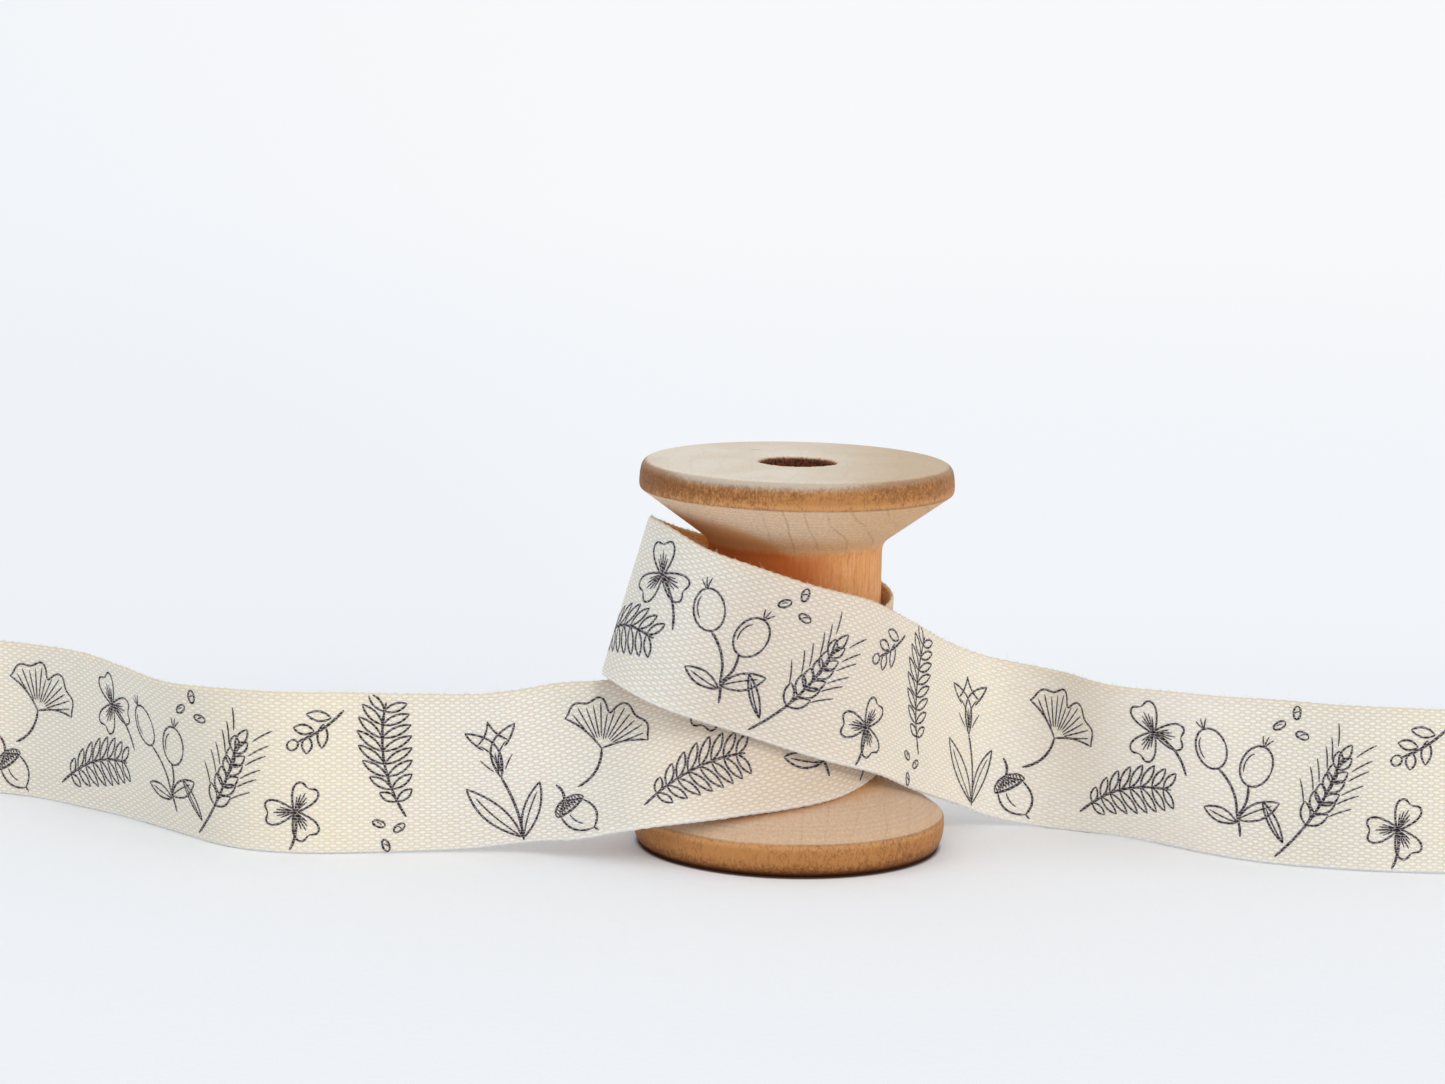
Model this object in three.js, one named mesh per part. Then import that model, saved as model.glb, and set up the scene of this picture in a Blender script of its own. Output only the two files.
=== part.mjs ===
// A turned wooden spool with one turn of printed cotton ribbon around it.
// Millimetres, +Z up. The origin is on the spool's axis, at its base face.
// The ribbon comes in from -X, passes in front of the core, goes once around it
// against the clock seen from above, crosses itself on the left and leaves to +X.

import * as THREE from "three";

// Named sizes.

// Spool
const spoolHeight = 35.8;
const flangeRadius = 14.5;
const topFaceRadius = 13.7;
const baseFaceRadius = 13.5;
const topRingHeight = 2.1;
const baseRingHeight = 2.3;
const topRimHeight = 2.55;
const baseRimHeight = 3.05;
const rimRounding = 0.25;
const coneHeight = 4.7;
const coreRadius = 8.0;
const coreFillet = 0.85;
const boreRadius = 3.5;
const boreChamfer = 0.35;

// Ribbon
const ribbonThickness = 0.4;
const tailReach = 79.0;
const foldLift = 1.4;
const tableGap = 0.05;
const crossingRoom = 0.2;

// Smoothness
const spoolSegments = 72;
const filletSteps = 6;
const ribbonSteps = 200;
const gapPlaces = 21;

// Sizes worked out from the ones above.

// The ribbon is as wide as it can be and still cross over itself between the rims.
const windingHeight = spoolHeight - topRimHeight - baseRimHeight;
const ribbonWidth = (windingHeight - crossingRoom) / 2;
const depth = flangeRadius - coreRadius;
const seatHeight = baseRimHeight + coneHeight;
const crossingHeight = ribbonWidth + foldLift;
const tailRun = tailReach - flangeRadius;
const halfWidth = ribbonWidth / 2;
const halfThickness = ribbonThickness / 2;

// Edges of the two flanges: how far out and how high each point lies between the
// flat face and the widest ring. The base is rounded more fully than the top.
const topEdgeShares = [
  [0, 0],
  [0.5, 0.1],
  [0.78, 0.27],
  [0.93, 0.58],
  [1, 1],
];
const baseEdgeShares = [
  [0, 0],
  [0.3, 0.04],
  [0.52, 0.14],
  [0.72, 0.3],
  [0.87, 0.5],
  [0.97, 0.75],
  [1, 1],
];

// Step from the widest ring to the cone: parts of the rounding lost outwards,
// and height between the ring and the rim's end.
const rimShares = [
  [0.08, 0.45],
  [0.35, 0.8],
  [1, 1],
];

// The ribbon's way, in shares.

// Each row is one place of the ribbon's middle line and ends with its lean in
// degrees, where a positive lean brings the upper edge to the right of the way.
// Tail rows: share of the tail's run away from the flange, share of the flange
// radius sideways, height level, lean.
const leftTailShares = [
  [1, 0.78, 0, 2],
  [0.93, 0.7, 0, 1.5],
  [0.845, 0.503, 0, 0],
  [0.775, 0.24, 0, 3],
  [0.71, -0.062, 0, 8],
  [0.647, -0.36, 0, 10],
  [0.572, -0.6, 0, 5],
  [0.484, -0.703, 0, 1],
  [0.392, -0.67, 0, 2],
  [0.299, -0.634, 0.01, 5],
  [0.208, -0.62, 0.042, 8],
  [0.122, -0.628, 0.11, 0],
  [0.045, -0.614, 0.264, -22],
];

// Wrap rows: turn in degrees from +X, share of the way from the core's wall to
// the flange's edge, height level, lean.
const wrapShares = [
  [-145, 1.19, 0.42, -25],
  [-131.2, 0.732, 0.562, -19],
  [-108, 0.37, 0.715, -13],
  [-74, 0.21, 0.848, -7.5],
  [-35, 0.1, 0.968, -1.5],
  [4.6, 0.12, 1.075, 1.5],
  [44, 0.14, 1.19, 1.7],
  [84, 0.116, 1.32, 1],
  [121, 0.136, 1.457, 1.5],
  [153, 0.427, 1.607, 0],
  [170.2, 0.767, 1.742, -4],
  [184, 1.05, 1.9, -10],
  [198, 1.212, 2.009, -17],
  [212, 1.215, 1.966, -16],
  [225.5, 1.097, 1.806, -8],
  [244, 0.737, 1.613, 0],
  [271, 0.508, 1.411, 2],
  [300.7, 0.397, 1.209, -3],
  [334.8, 0.36, 0.954, -6],
  [361.4, 0.63, 0.671, -6.5],
  [379.4, 1.265, 0.398, -11],
  [385.3, 2.155, 0.136, -15],
];

const rightTailShares = [
  [0.164, 0.593, 0.004, -5],
  [0.234, 0.352, 0.007, 7],
  [0.313, 0.131, 0.005, 6],
  [0.392, -0.069, 0, -1.7],
  [0.478, -0.207, 0.01, -8.6],
  [0.571, -0.276, 0.008, -12],
  [0.682, -0.31, 0.008, -12],
  [0.829, -0.331, 0.005, -9],
  [1, -0.359, 0.005, -6],
];

// Cross-section of the ribbon: share of the half width and share of the half
// thickness. The two ends are the selvedges.
const sectionShares = [
  [-1, 0],
  [-0.985, 1],
  [0.985, 1],
  [1, 0],
  [0.985, -1],
  [-0.985, -1],
];

// Helpers.

const radians = THREE.MathUtils.degToRad;

// Height of the ribbon's lower edge for a height level. Level 1 is the top of
// the lower cone, and level 2 lets the ribbon cross over its own first pass.
function lift(level) {
  if (level <= 1) {
    return level * seatHeight;
  }
  return seatHeight + (level - 1) * (crossingHeight - seatHeight);
}

function middleHeight(level, lean) {
  return tableGap + lift(level) + halfWidth * Math.cos(radians(lean));
}

function tailPlace(direction, row) {
  const [run, sideways, level, lean] = row;
  const x = direction * (flangeRadius + run * tailRun);
  return [x, sideways * flangeRadius, middleHeight(level, lean), lean];
}

function wrapPlace(row) {
  const [turn, out, level, lean] = row;
  const radius = coreRadius + out * depth;
  const x = radius * Math.cos(radians(turn));
  const y = radius * Math.sin(radians(turn));
  return [x, y, middleHeight(level, lean), lean];
}

function distance(a, b) {
  return Math.hypot(a[0] - b[0], a[1] - b[1], a[2] - b[2]);
}

// Second derivatives of a natural cubic spline through one column of values.
function bend(knots, values) {
  const count = knots.length;
  const diagonal = new Array(count).fill(1);
  const right = new Array(count).fill(0);
  const upper = new Array(count).fill(0);
  for (let i = 1; i < count - 1; i += 1) {
    const before = knots[i] - knots[i - 1];
    const after = knots[i + 1] - knots[i];
    const slopeBefore = (values[i] - values[i - 1]) / before;
    const slopeAfter = (values[i + 1] - values[i]) / after;
    const lower = before / 6;
    const factor = lower / diagonal[i - 1];
    diagonal[i] = (before + after) / 3 - factor * upper[i - 1];
    upper[i] = after / 6;
    right[i] = slopeAfter - slopeBefore - factor * right[i - 1];
  }
  const second = new Array(count).fill(0);
  for (let i = count - 2; i > 0; i -= 1) {
    second[i] = (right[i] - upper[i] * second[i + 1]) / diagonal[i];
  }
  return second;
}

// A smooth way through the places: returns the values at a distance along it.
function smoothWay(places) {
  const knots = [0];
  for (let i = 1; i < places.length; i += 1) {
    knots.push(knots[i - 1] + distance(places[i], places[i - 1]));
  }
  const columns = places[0].map((_, c) => places.map((place) => place[c]));
  const seconds = columns.map((values) => bend(knots, values));
  const total = knots[knots.length - 1];
  const at = (along) => {
    let i = 1;
    while (i < knots.length - 1 && knots[i] < along) {
      i += 1;
    }
    const span = knots[i] - knots[i - 1];
    const b = (along - knots[i - 1]) / span;
    const a = 1 - b;
    return columns.map((values, c) => {
      const straight = a * values[i - 1] + b * values[i];
      const curl = (a ** 3 - a) * seconds[c][i - 1] + (b ** 3 - b) * seconds[c][i];
      return straight + (curl * span * span) / 6;
    });
  };
  return { at, total };
}

// Closed body from rings of equal point counts, with flat ends.
function ringBody(rings) {
  const size = rings[0].length;
  const positions = rings.flat().flatMap((point) => point.toArray());
  const faces = [];
  for (let i = 0; i < rings.length - 1; i += 1) {
    for (let j = 0; j < size; j += 1) {
      const a = i * size + j;
      const b = i * size + ((j + 1) % size);
      faces.push(a, a + size, b, b, a + size, b + size);
    }
  }
  const last = (rings.length - 1) * size;
  for (let j = 1; j < size - 1; j += 1) {
    faces.push(0, j, j + 1, last, last + j + 1, last + j);
  }
  const geometry = new THREE.BufferGeometry();
  geometry.setAttribute("position", new THREE.Float32BufferAttribute(positions, 3));
  geometry.setIndex(faces);
  geometry.computeVertexNormals();
  return geometry;
}

// Volume inside a geometry, negative when its faces point inwards.
function signedVolume(geometry) {
  const place = geometry.getAttribute("position");
  const index = geometry.getIndex();
  const corner = [new THREE.Vector3(), new THREE.Vector3(), new THREE.Vector3()];
  let volume = 0;
  for (let i = 0; i < index.count; i += 3) {
    corner.forEach((point, k) => point.fromBufferAttribute(place, index.getX(i + k)));
    volume += corner[0].dot(corner[1].cross(corner[2])) / 6;
  }
  return volume;
}

function facingOut(geometry) {
  if (signedVolume(geometry) < 0) {
    geometry.index.array.reverse();
    geometry.computeVertexNormals();
  }
  return geometry;
}

function piece(name, geometry, colour, roughness) {
  const material = new THREE.MeshStandardMaterial({ color: colour, roughness, metalness: 0 });
  material.name = name;
  const mesh = new THREE.Mesh(geometry, material);
  mesh.name = name;
  return mesh;
}

// Spool.

// Points of one flange from its flat face to where the cone starts, as radius
// and height above the face.
function flangeOutline(edgeShares, faceRadius, ringHeight, rimHeight) {
  const points = edgeShares.map(([out, up]) => {
    return [faceRadius + out * (flangeRadius - faceRadius), up * ringHeight];
  });
  for (const [inwards, up] of rimShares) {
    const radius = flangeRadius - inwards * rimRounding;
    points.push([radius, ringHeight + up * (rimHeight - ringHeight)]);
  }
  return points;
}

// Rounded inner corner between the cone and the core's wall.
function filletOutline(rimHeight) {
  const slope = Math.atan2(coneHeight, depth - rimRounding);
  const sweep = Math.PI / 2 - slope;
  const middleRadius = coreRadius + coreFillet;
  const middleLevel = rimHeight + coneHeight + coreFillet * Math.tan(sweep / 2);
  const points = [];
  for (let i = 0; i <= filletSteps; i += 1) {
    const angle = -Math.PI / 2 - slope - (sweep * i) / filletSteps;
    const radius = middleRadius + coreFillet * Math.cos(angle);
    points.push([radius, middleLevel + coreFillet * Math.sin(angle)]);
  }
  return points;
}

function spoolGeometry() {
  const lower = [
    ...flangeOutline(baseEdgeShares, baseFaceRadius, baseRingHeight, baseRimHeight),
    ...filletOutline(baseRimHeight),
  ];
  const upper = [
    ...flangeOutline(topEdgeShares, topFaceRadius, topRingHeight, topRimHeight),
    ...filletOutline(topRimHeight),
  ];
  const outline = [
    [boreRadius, spoolHeight - boreChamfer],
    [boreRadius, boreChamfer],
    [boreRadius + boreChamfer, 0],
    ...lower,
    ...upper.reverse().map(([radius, level]) => [radius, spoolHeight - level]),
    [boreRadius + boreChamfer, spoolHeight],
    [boreRadius, spoolHeight - boreChamfer],
  ];
  const points = outline.map(([radius, level]) => new THREE.Vector2(radius, level));
  const geometry = new THREE.LatheGeometry(points, spoolSegments);
  geometry.rotateX(Math.PI / 2);
  return facingOut(geometry);
}

// Ribbon.

const ribbonPlaces = [
  ...leftTailShares.map((row) => tailPlace(-1, row)),
  ...wrapShares.map((row) => wrapPlace(row)),
  ...rightTailShares.map((row) => tailPlace(1, row)),
];

const ribbonWay = smoothWay(ribbonPlaces);

// Middle point, upward direction and facing direction at a share of the length.
function ribbonFrame(share) {
  const along = share * ribbonWay.total;
  const step = ribbonWay.total / ribbonSteps / 4;
  const [x, y, z, lean] = ribbonWay.at(along);
  const before = new THREE.Vector3(...ribbonWay.at(Math.max(0, along - step)));
  const after = new THREE.Vector3(...ribbonWay.at(Math.min(ribbonWay.total, along + step)));
  const forward = after.sub(before).normalize();
  const up = new THREE.Vector3(0, 0, 1).addScaledVector(forward, -forward.z).normalize();
  const side = new THREE.Vector3().crossVectors(forward, up);
  const across = up.multiplyScalar(Math.cos(radians(lean)));
  across.addScaledVector(side, Math.sin(radians(lean)));
  const facing = new THREE.Vector3().crossVectors(forward, across);
  return { middle: new THREE.Vector3(x, y, z), across, facing };
}

function ribbonPoint(frame, acrossShare, facingShare) {
  const point = frame.middle.clone();
  point.addScaledVector(frame.across, acrossShare * halfWidth);
  return point.addScaledVector(frame.facing, facingShare * halfThickness);
}

const ribbonFrames = [];
for (let i = 0; i <= ribbonSteps; i += 1) {
  ribbonFrames.push(ribbonFrame(i / ribbonSteps));
}

function ribbonGeometry() {
  const rings = ribbonFrames.map((frame) => {
    return sectionShares.map(([across, facing]) => ribbonPoint(frame, across, facing));
  });
  return facingOut(ringBody(rings));
}

// Least distance between points of the ribbon's faces that lie more than a
// width apart along it.
function leastGap() {
  const rows = ribbonFrames.map((frame) => {
    const points = [];
    for (let k = 0; k < gapPlaces; k += 1) {
      const across = (2 * k) / (gapPlaces - 1) - 1;
      points.push(ribbonPoint(frame, across, 1), ribbonPoint(frame, across, -1));
    }
    return points;
  });
  const stepLength = ribbonWay.total / ribbonSteps;
  const apart = Math.ceil(ribbonWidth / stepLength);
  let least = Infinity;
  for (let i = 0; i < rows.length; i += 1) {
    for (let j = i + apart; j < rows.length; j += 1) {
      if (ribbonFrames[i].middle.distanceTo(ribbonFrames[j].middle) < crossingHeight) {
        for (const a of rows[i]) {
          for (const b of rows[j]) {
            least = Math.min(least, a.distanceTo(b));
          }
        }
      }
    }
  }
  return least;
}

// The part.

const part = new THREE.Group();
part.name = "spool_with_ribbon";
part.add(piece("turned_spool", spoolGeometry(), 0xd8a873, 0.55));
part.add(piece("cotton_ribbon", ribbonGeometry(), 0xe9e2d4, 0.9));

console.log(`ribbon length ${ribbonWay.total.toFixed(1)} mm`);
console.log(`ribbon least gap to itself ${leastGap().toFixed(2)} mm`);

export default part;
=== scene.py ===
# %% [markdown]
# # A turned wooden spool with one turn of printed ribbon
# The real object is a small pale wooden spool, turned in one piece, with a length of
# narrow cotton ribbon around its core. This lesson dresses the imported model: it starts
# from the fixed frame, so every place below is in metres, with the spool's axis on Z
# and its base face at zero.

# %% Load the fixed frame
import bpy
import math
import random
import numpy as np
from mathutils import Matrix, Vector


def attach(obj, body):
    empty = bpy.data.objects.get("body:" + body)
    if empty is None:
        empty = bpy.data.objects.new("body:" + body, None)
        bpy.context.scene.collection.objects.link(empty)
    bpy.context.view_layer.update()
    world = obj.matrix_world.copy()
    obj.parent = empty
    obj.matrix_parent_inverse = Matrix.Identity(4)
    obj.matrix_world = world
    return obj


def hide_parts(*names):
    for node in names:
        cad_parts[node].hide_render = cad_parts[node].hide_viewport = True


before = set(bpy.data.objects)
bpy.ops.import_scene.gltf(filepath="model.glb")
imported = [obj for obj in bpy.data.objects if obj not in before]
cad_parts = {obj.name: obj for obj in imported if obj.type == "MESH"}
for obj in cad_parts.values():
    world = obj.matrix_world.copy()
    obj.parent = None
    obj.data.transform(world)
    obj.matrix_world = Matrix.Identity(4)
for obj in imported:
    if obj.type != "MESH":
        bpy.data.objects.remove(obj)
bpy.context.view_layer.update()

MM = 0.001
rng = random.Random(41)

# %% [markdown]
# ## The camera
# The photograph was taken with a long lens a third of a metre away, looking slightly
# down. The place and the three angles were solved from the spool's ellipses. A camera
# looks along its own -Z, so its matrix is built from the right, up and backward
# directions.

# %% Camera at the photograph's angle
PHOTO_WIDTH = 1445
LENS_IN_PIXELS = 3777
SENSOR_WIDTH = 36.0
CAMERA_PLACE = Vector((-0.00045, -0.34365, 0.08252))
LOOK_DOWN, TURN, TILT = (math.radians(a) for a in (9.0, -1.044, 1.32))

forward = Vector((
    math.sin(TURN) * math.cos(LOOK_DOWN),
    math.cos(TURN) * math.cos(LOOK_DOWN),
    -math.sin(LOOK_DOWN),
))
level_right = forward.cross(Vector((0, 0, 1))).normalized()
level_up = level_right.cross(forward)
camera_right = math.cos(TILT) * level_right + math.sin(TILT) * level_up
camera_up = math.cos(TILT) * level_up - math.sin(TILT) * level_right

camera_data = bpy.data.cameras.new("photo_camera")
camera_data.lens = LENS_IN_PIXELS / PHOTO_WIDTH * SENSOR_WIDTH
camera_data.sensor_width = SENSOR_WIDTH
camera_data.clip_start = 0.01
camera_data.clip_end = 50
camera = bpy.data.objects.new("photo_camera", camera_data)
bpy.context.scene.collection.objects.link(camera)
turn = Matrix((camera_right, camera_up, -forward)).transposed().to_4x4()
camera.matrix_world = Matrix.Translation(CAMERA_PLACE) @ turn
bpy.context.scene.camera = camera
bpy.context.scene.view_settings.view_transform = "Standard"
print("lens", round(camera_data.lens, 2), "mm")

# %% [markdown]
# ## Helpers for node trees
# A procedural material is a small graph. A few helpers keep the graphs readable: `put`
# adds a node and fills its sockets by value or by link, `calc` adds one Math node, and
# `coats` lays tones over each other as a painter does. Colours are written as they look
# on screen and turned into linear light by `tone`.

# %% Node helpers
MEASURES = ("DISTANCE", "LENGTH", "DOT_PRODUCT")


def tone(red, green, blue):
    """Linear colour from screen values between 0 and 255."""
    def linear(value):
        share = value / 255
        return share / 12.92 if share <= 0.04045 else ((share + 0.055) / 1.055) ** 2.4
    return (linear(red), linear(green), linear(blue), 1.0)


def fill(tree, socket, value):
    """Link a value into a socket, or set it where it is a constant."""
    if isinstance(value, bpy.types.NodeSocket):
        tree.links.new(value, socket)
    else:
        socket.default_value = value


def put(tree, kind, settings=None, **sockets):
    """Add a node; sockets are filled by name, with _ for a space, or by number as i0."""
    node = tree.nodes.new("ShaderNode" + kind)
    for name, value in (settings or {}).items():
        setattr(node, name, value)
    for name, value in sockets.items():
        key = int(name[1:]) if name[1:].isdigit() else name.replace("_", " ")
        fill(tree, node.inputs[key], value)
    return node


def calc(tree, operation, first, second=0.0, third=0.0):
    """One Math node; returns its result."""
    return put(tree, "Math", {"operation": operation}, i0=first, i1=second, i2=third).outputs[0]


def times(tree, first, second):
    return calc(tree, "MULTIPLY", first, second)


def swayed(tree, value, by, size):
    """A value moved up and down by a noise that lies around one half."""
    return calc(tree, "MULTIPLY_ADD", calc(tree, "SUBTRACT", by, 0.5), size, value)


def vector_calc(tree, operation, first, **sockets):
    """One Vector Math node; returns its vector, or its number where it measures."""
    node = put(tree, "VectorMath", {"operation": operation}, i0=first, **sockets)
    return node.outputs["Value" if operation in MEASURES else "Vector"]


def ramp(tree, value, low, high, to_low=0.0, to_high=1.0):
    """Smooth step of a value from low to high."""
    node = put(tree, "MapRange", {"interpolation_type": "SMOOTHSTEP"}, Value=value,
               From_Min=low, From_Max=high, To_Min=to_low, To_Max=to_high)
    return node.outputs["Result"]


def blend(tree, share, first, second, mode="MIX"):
    """Mix two colours by a share."""
    settings = {"data_type": "RGBA", "blend_type": mode}
    return put(tree, "Mix", settings, i0=share, i6=first, i7=second).outputs[2]


def coats(tree, colour, *layers):
    """Lay tones over a colour. A layer is one or more shares to multiply, then its tone."""
    for share, *factors, layer_tone in layers:
        for factor in factors:
            share = times(tree, share, factor)
        colour = blend(tree, share, colour, layer_tone)
    return colour


def noise(tree, vector, scale, detail=3.0, roughness=0.55):
    """Plain noise value between 0 and 1."""
    return put(tree, "TexNoise", None, Vector=vector, Scale=scale, Detail=detail,
               Roughness=roughness).outputs["Fac"]


def stretched(tree, vector, x, y, z):
    """Coordinates with each axis scaled on its own."""
    return vector_calc(tree, "MULTIPLY", vector, i1=(x, y, z))


def stored(tree, name):
    """A number kept on the mesh's points."""
    return put(tree, "Attribute", {"attribute_name": name}).outputs["Fac"]


print("node helpers ready")

# %% Group and material helpers
def new_group(name, starts):
    """Node group with a vector and named numbers going in; returns it and its inputs."""
    group = bpy.data.node_groups.new(name, "ShaderNodeTree")
    group.interface.new_socket("Vector", in_out="INPUT", socket_type="NodeSocketVector")
    for label, start in starts.items():
        socket = group.interface.new_socket(label, in_out="INPUT", socket_type="NodeSocketFloat")
        socket.default_value = start
    return group, group.nodes.new("NodeGroupInput").outputs


def close_group(group, **results):
    """Let the group put out its named results."""
    for label in results:
        group.interface.new_socket(label, in_out="OUTPUT", socket_type="NodeSocketFloat")
    end = group.nodes.new("NodeGroupOutput")
    for label, value in results.items():
        group.links.new(value, end.inputs[label])
    print(group.name, len(group.nodes), "nodes")
    return group


def new_material(name):
    """Material with one Principled shader; returns it and its tree."""
    material = bpy.data.materials.new(name)
    material.use_nodes = True
    return material, material.node_tree


def finish_material(tree, colour, bump=None, **values):
    """Feed the shader its colour, a bump (height, strength, distance) and more values."""
    shader = tree.nodes["Principled BSDF"]
    tree.links.new(colour, shader.inputs["Base Color"])
    if bump:
        height, strength, distance = bump
        node = put(tree, "Bump", None, Strength=strength, Distance=distance, Height=height)
        tree.links.new(node.outputs["Normal"], shader.inputs["Normal"])
    for name, value in values.items():
        fill(tree, shader.inputs[name.replace("_", " ")], value)
    print("material with", len(tree.nodes), "nodes")
    return shader


# %% Mesh helpers
def new_piece(name, points, faces, material, smooth=True):
    """Mesh object from points in metres and faces."""
    mesh = bpy.data.meshes.new(name)
    mesh.from_pydata([tuple(p) for p in points], [], faces)
    mesh.validate()
    mesh.polygons.foreach_set("use_smooth", [smooth] * len(mesh.polygons))
    mesh.materials.append(material)
    piece = bpy.data.objects.new(name, mesh)
    bpy.context.scene.collection.objects.link(piece)
    print(name, len(mesh.vertices), "points", len(mesh.polygons), "faces")
    return piece


def store(piece, name, values):
    """Keep one number per point, for a material to read."""
    layer = piece.data.attributes.new(name, "FLOAT", "POINT")
    layer.data.foreach_set("value", np.asarray(values, dtype=np.float32).ravel())


def corner_points(piece):
    """Number of the point at each face corner."""
    numbers = np.empty(len(piece.data.loops), dtype=np.int64)
    piece.data.loops.foreach_get("vertex_index", numbers)
    return numbers


def lay_map(piece, name, u, v):
    """Give the face corners a place in a named map."""
    layer = piece.data.uv_layers.new(name=name)
    layer.data.foreach_set("uv", np.column_stack([u, v]).astype(np.float32).ravel())


# %% [markdown]
# ## Mottling, shared by wood, cotton and floor
# No natural surface is one even colour. One group mixes a broad and a fine noise into a
# value around one half, so that each material can be darkened a little here and
# lightened a little there at its own scale.

# %% Node group: mottling
tree, given = new_group("soft_mottling", {"Broad": 100.0, "Fine": 1000.0, "Fine Share": 0.4})
broad = noise(tree, given["Vector"], given["Broad"], 2.0)
fine = noise(tree, given["Vector"], given["Fine"], 4.0, 0.65)
mixed = put(tree, "Mix", {"data_type": "FLOAT"}, i0=given["Fine Share"], i2=broad, i3=fine)
mottle_group = close_group(tree, Value=mixed.outputs[0])


def mottling(tree, vector, broad_scale, fine_scale, fine_share):
    """Place the mottling group."""
    node = put(tree, "Group", {"node_tree": mottle_group}, Vector=vector,
               Broad=broad_scale, Fine=fine_scale, Fine_Share=fine_share)
    return node.outputs["Value"]


# %% [markdown]
# ## Turned wood
# The spool was cut from one pale block with its grain along the axis. Three things make
# it look turned: growth rings that show as arcs on the flat faces and as faint curved
# lines on the cones, long fibres that run up the core, and rims and core burnished brown
# by the tool. The grain is a solid pattern in space, so it runs through from face to
# side. The burnished zones are stored on the mesh's points, because they follow the tool
# and not the tree. The wood is also warmer on the right, and the upper rim is darker on
# the left. Some dark zones are painted shade, and the bevel's grey-white is partly a
# painted highlight.

# %% Wood tones
CONE_TONE = tone(244, 215, 184)
LOWER_CONE_SHADE_TONE = tone(214, 186, 158)
CONE_WARM_TONE = tone(240, 194, 142)
RIGHT_WARM_TONE = tone(240, 236, 228)
END_GRAIN_TONE = tone(230, 220, 204)
END_GRAIN_WARM_TONE = tone(216, 194, 166)
RIGHT_FACE_TONE = tone(200, 172, 138)
RIM_TONE = tone(182, 124, 68)
RIM_LIGHT_TONE = tone(204, 150, 96)
RIM_DARK_TONE = tone(122, 72, 28)
CORE_TONE = tone(222, 158, 98)
CORE_LIGHT_TONE = tone(236, 190, 146)
CORE_DARK_TONE = tone(184, 108, 54)
CORE_SHADE_TONE = tone(184, 88, 24)
CONE_SHADE_TONE = tone(216, 148, 84)
RIBBON_FOOT_SHADE_TONE = tone(186, 118, 62)
BEVEL_WEAR_AND_HIGHLIGHT_TONE = tone(190, 177, 160)
BEVEL_DARK_TONE = tone(166, 138, 110)
BORE_SHADE_TONE = tone(124, 60, 26)
BORE_DEEP_SHADE_TONE = tone(50, 20, 8)
GROWTH_TONE = tone(172, 128, 90)
BASE_UNDERSIDE_SHADE_TONE = tone(84, 44, 20)
SLIT_TONE = tone(112, 78, 48)
print("wood tones set")

# %% Node group: wood grain
PITH_PLACE = (-0.055, 0.002, 0.0)
RING_SPACING = 0.0023
tree, given = new_group("wood_grain", {"Ring Spacing": RING_SPACING, "Fibre Length": 0.05})
place = given["Vector"]
wander = put(tree, "TexNoise", None, Vector=stretched(tree, place, 1, 1, 0.35), Scale=95.0,
             Detail=2.0).outputs["Color"]
wander = vector_calc(tree, "SCALE", wander, Scale=0.0042)
flat = stretched(tree, vector_calc(tree, "ADD", place, i1=wander), 1, 1, 0.08)
from_pith = vector_calc(tree, "DISTANCE", flat, i1=PITH_PLACE)
ring_share = calc(tree, "FRACT", calc(tree, "DIVIDE", from_pith, given["Ring Spacing"]))
rings = times(tree, ramp(tree, ring_share, 0.84, 0.975),
              ramp(tree, ring_share, 0.975, 1.0, 1.0, 0.0))
squeezed = put(tree, "CombineXYZ", None, X=1.0, Y=1.0, Z=given["Fibre Length"]).outputs[0]
along = vector_calc(tree, "MULTIPLY", place, i1=squeezed)
fibres = noise(tree, along, 3600.0, 4.0, 0.7)
pores = put(tree, "TexVoronoi", None, Vector=along, Scale=3400.0).outputs["Distance"]
pores = ramp(tree, pores, 0.08, 0.34, 1.0, 0.0)
grain_group = close_group(tree, Fibres=fibres, Rings=rings, Pores=pores)

# %% Material: turned wood
wood, tree = new_material("turned_pale_wood")
space = put(tree, "TexCoord").outputs["Object"]
grain = put(tree, "Group", {"node_tree": grain_group}, Vector=space,
            Ring_Spacing=RING_SPACING, Fibre_Length=0.06)
fibres, rings, pores = (grain.outputs[k] for k in ("Fibres", "Rings", "Pores"))
patches = mottling(tree, space, 140.0, 2200.0, 0.35)
speckle = noise(tree, stretched(tree, space, 1, 1, 0.6), 5200.0, 3.0, 0.65)
blotches = noise(tree, stretched(tree, space, 1, 1, 0.8), 1700.0, 3.0, 0.6)
streaks = noise(tree, stretched(tree, space, 1, 1, 0.11), 3600.0, 3.0, 0.65)
dots = ramp(tree, speckle, 0.36, 0.66)
upper, painted_left_shade, tool_marks = (stored(tree, k) for k in ("upper", "painted_left_shade", "tool_marks"))
to_right = put(tree, "SeparateXYZ", None, Vector=space).outputs["X"]
at_right = ramp(tree, to_right, -0.001, 0.011, 0.0, 0.8)
right_warmth = times(tree, at_right, upper)
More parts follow.
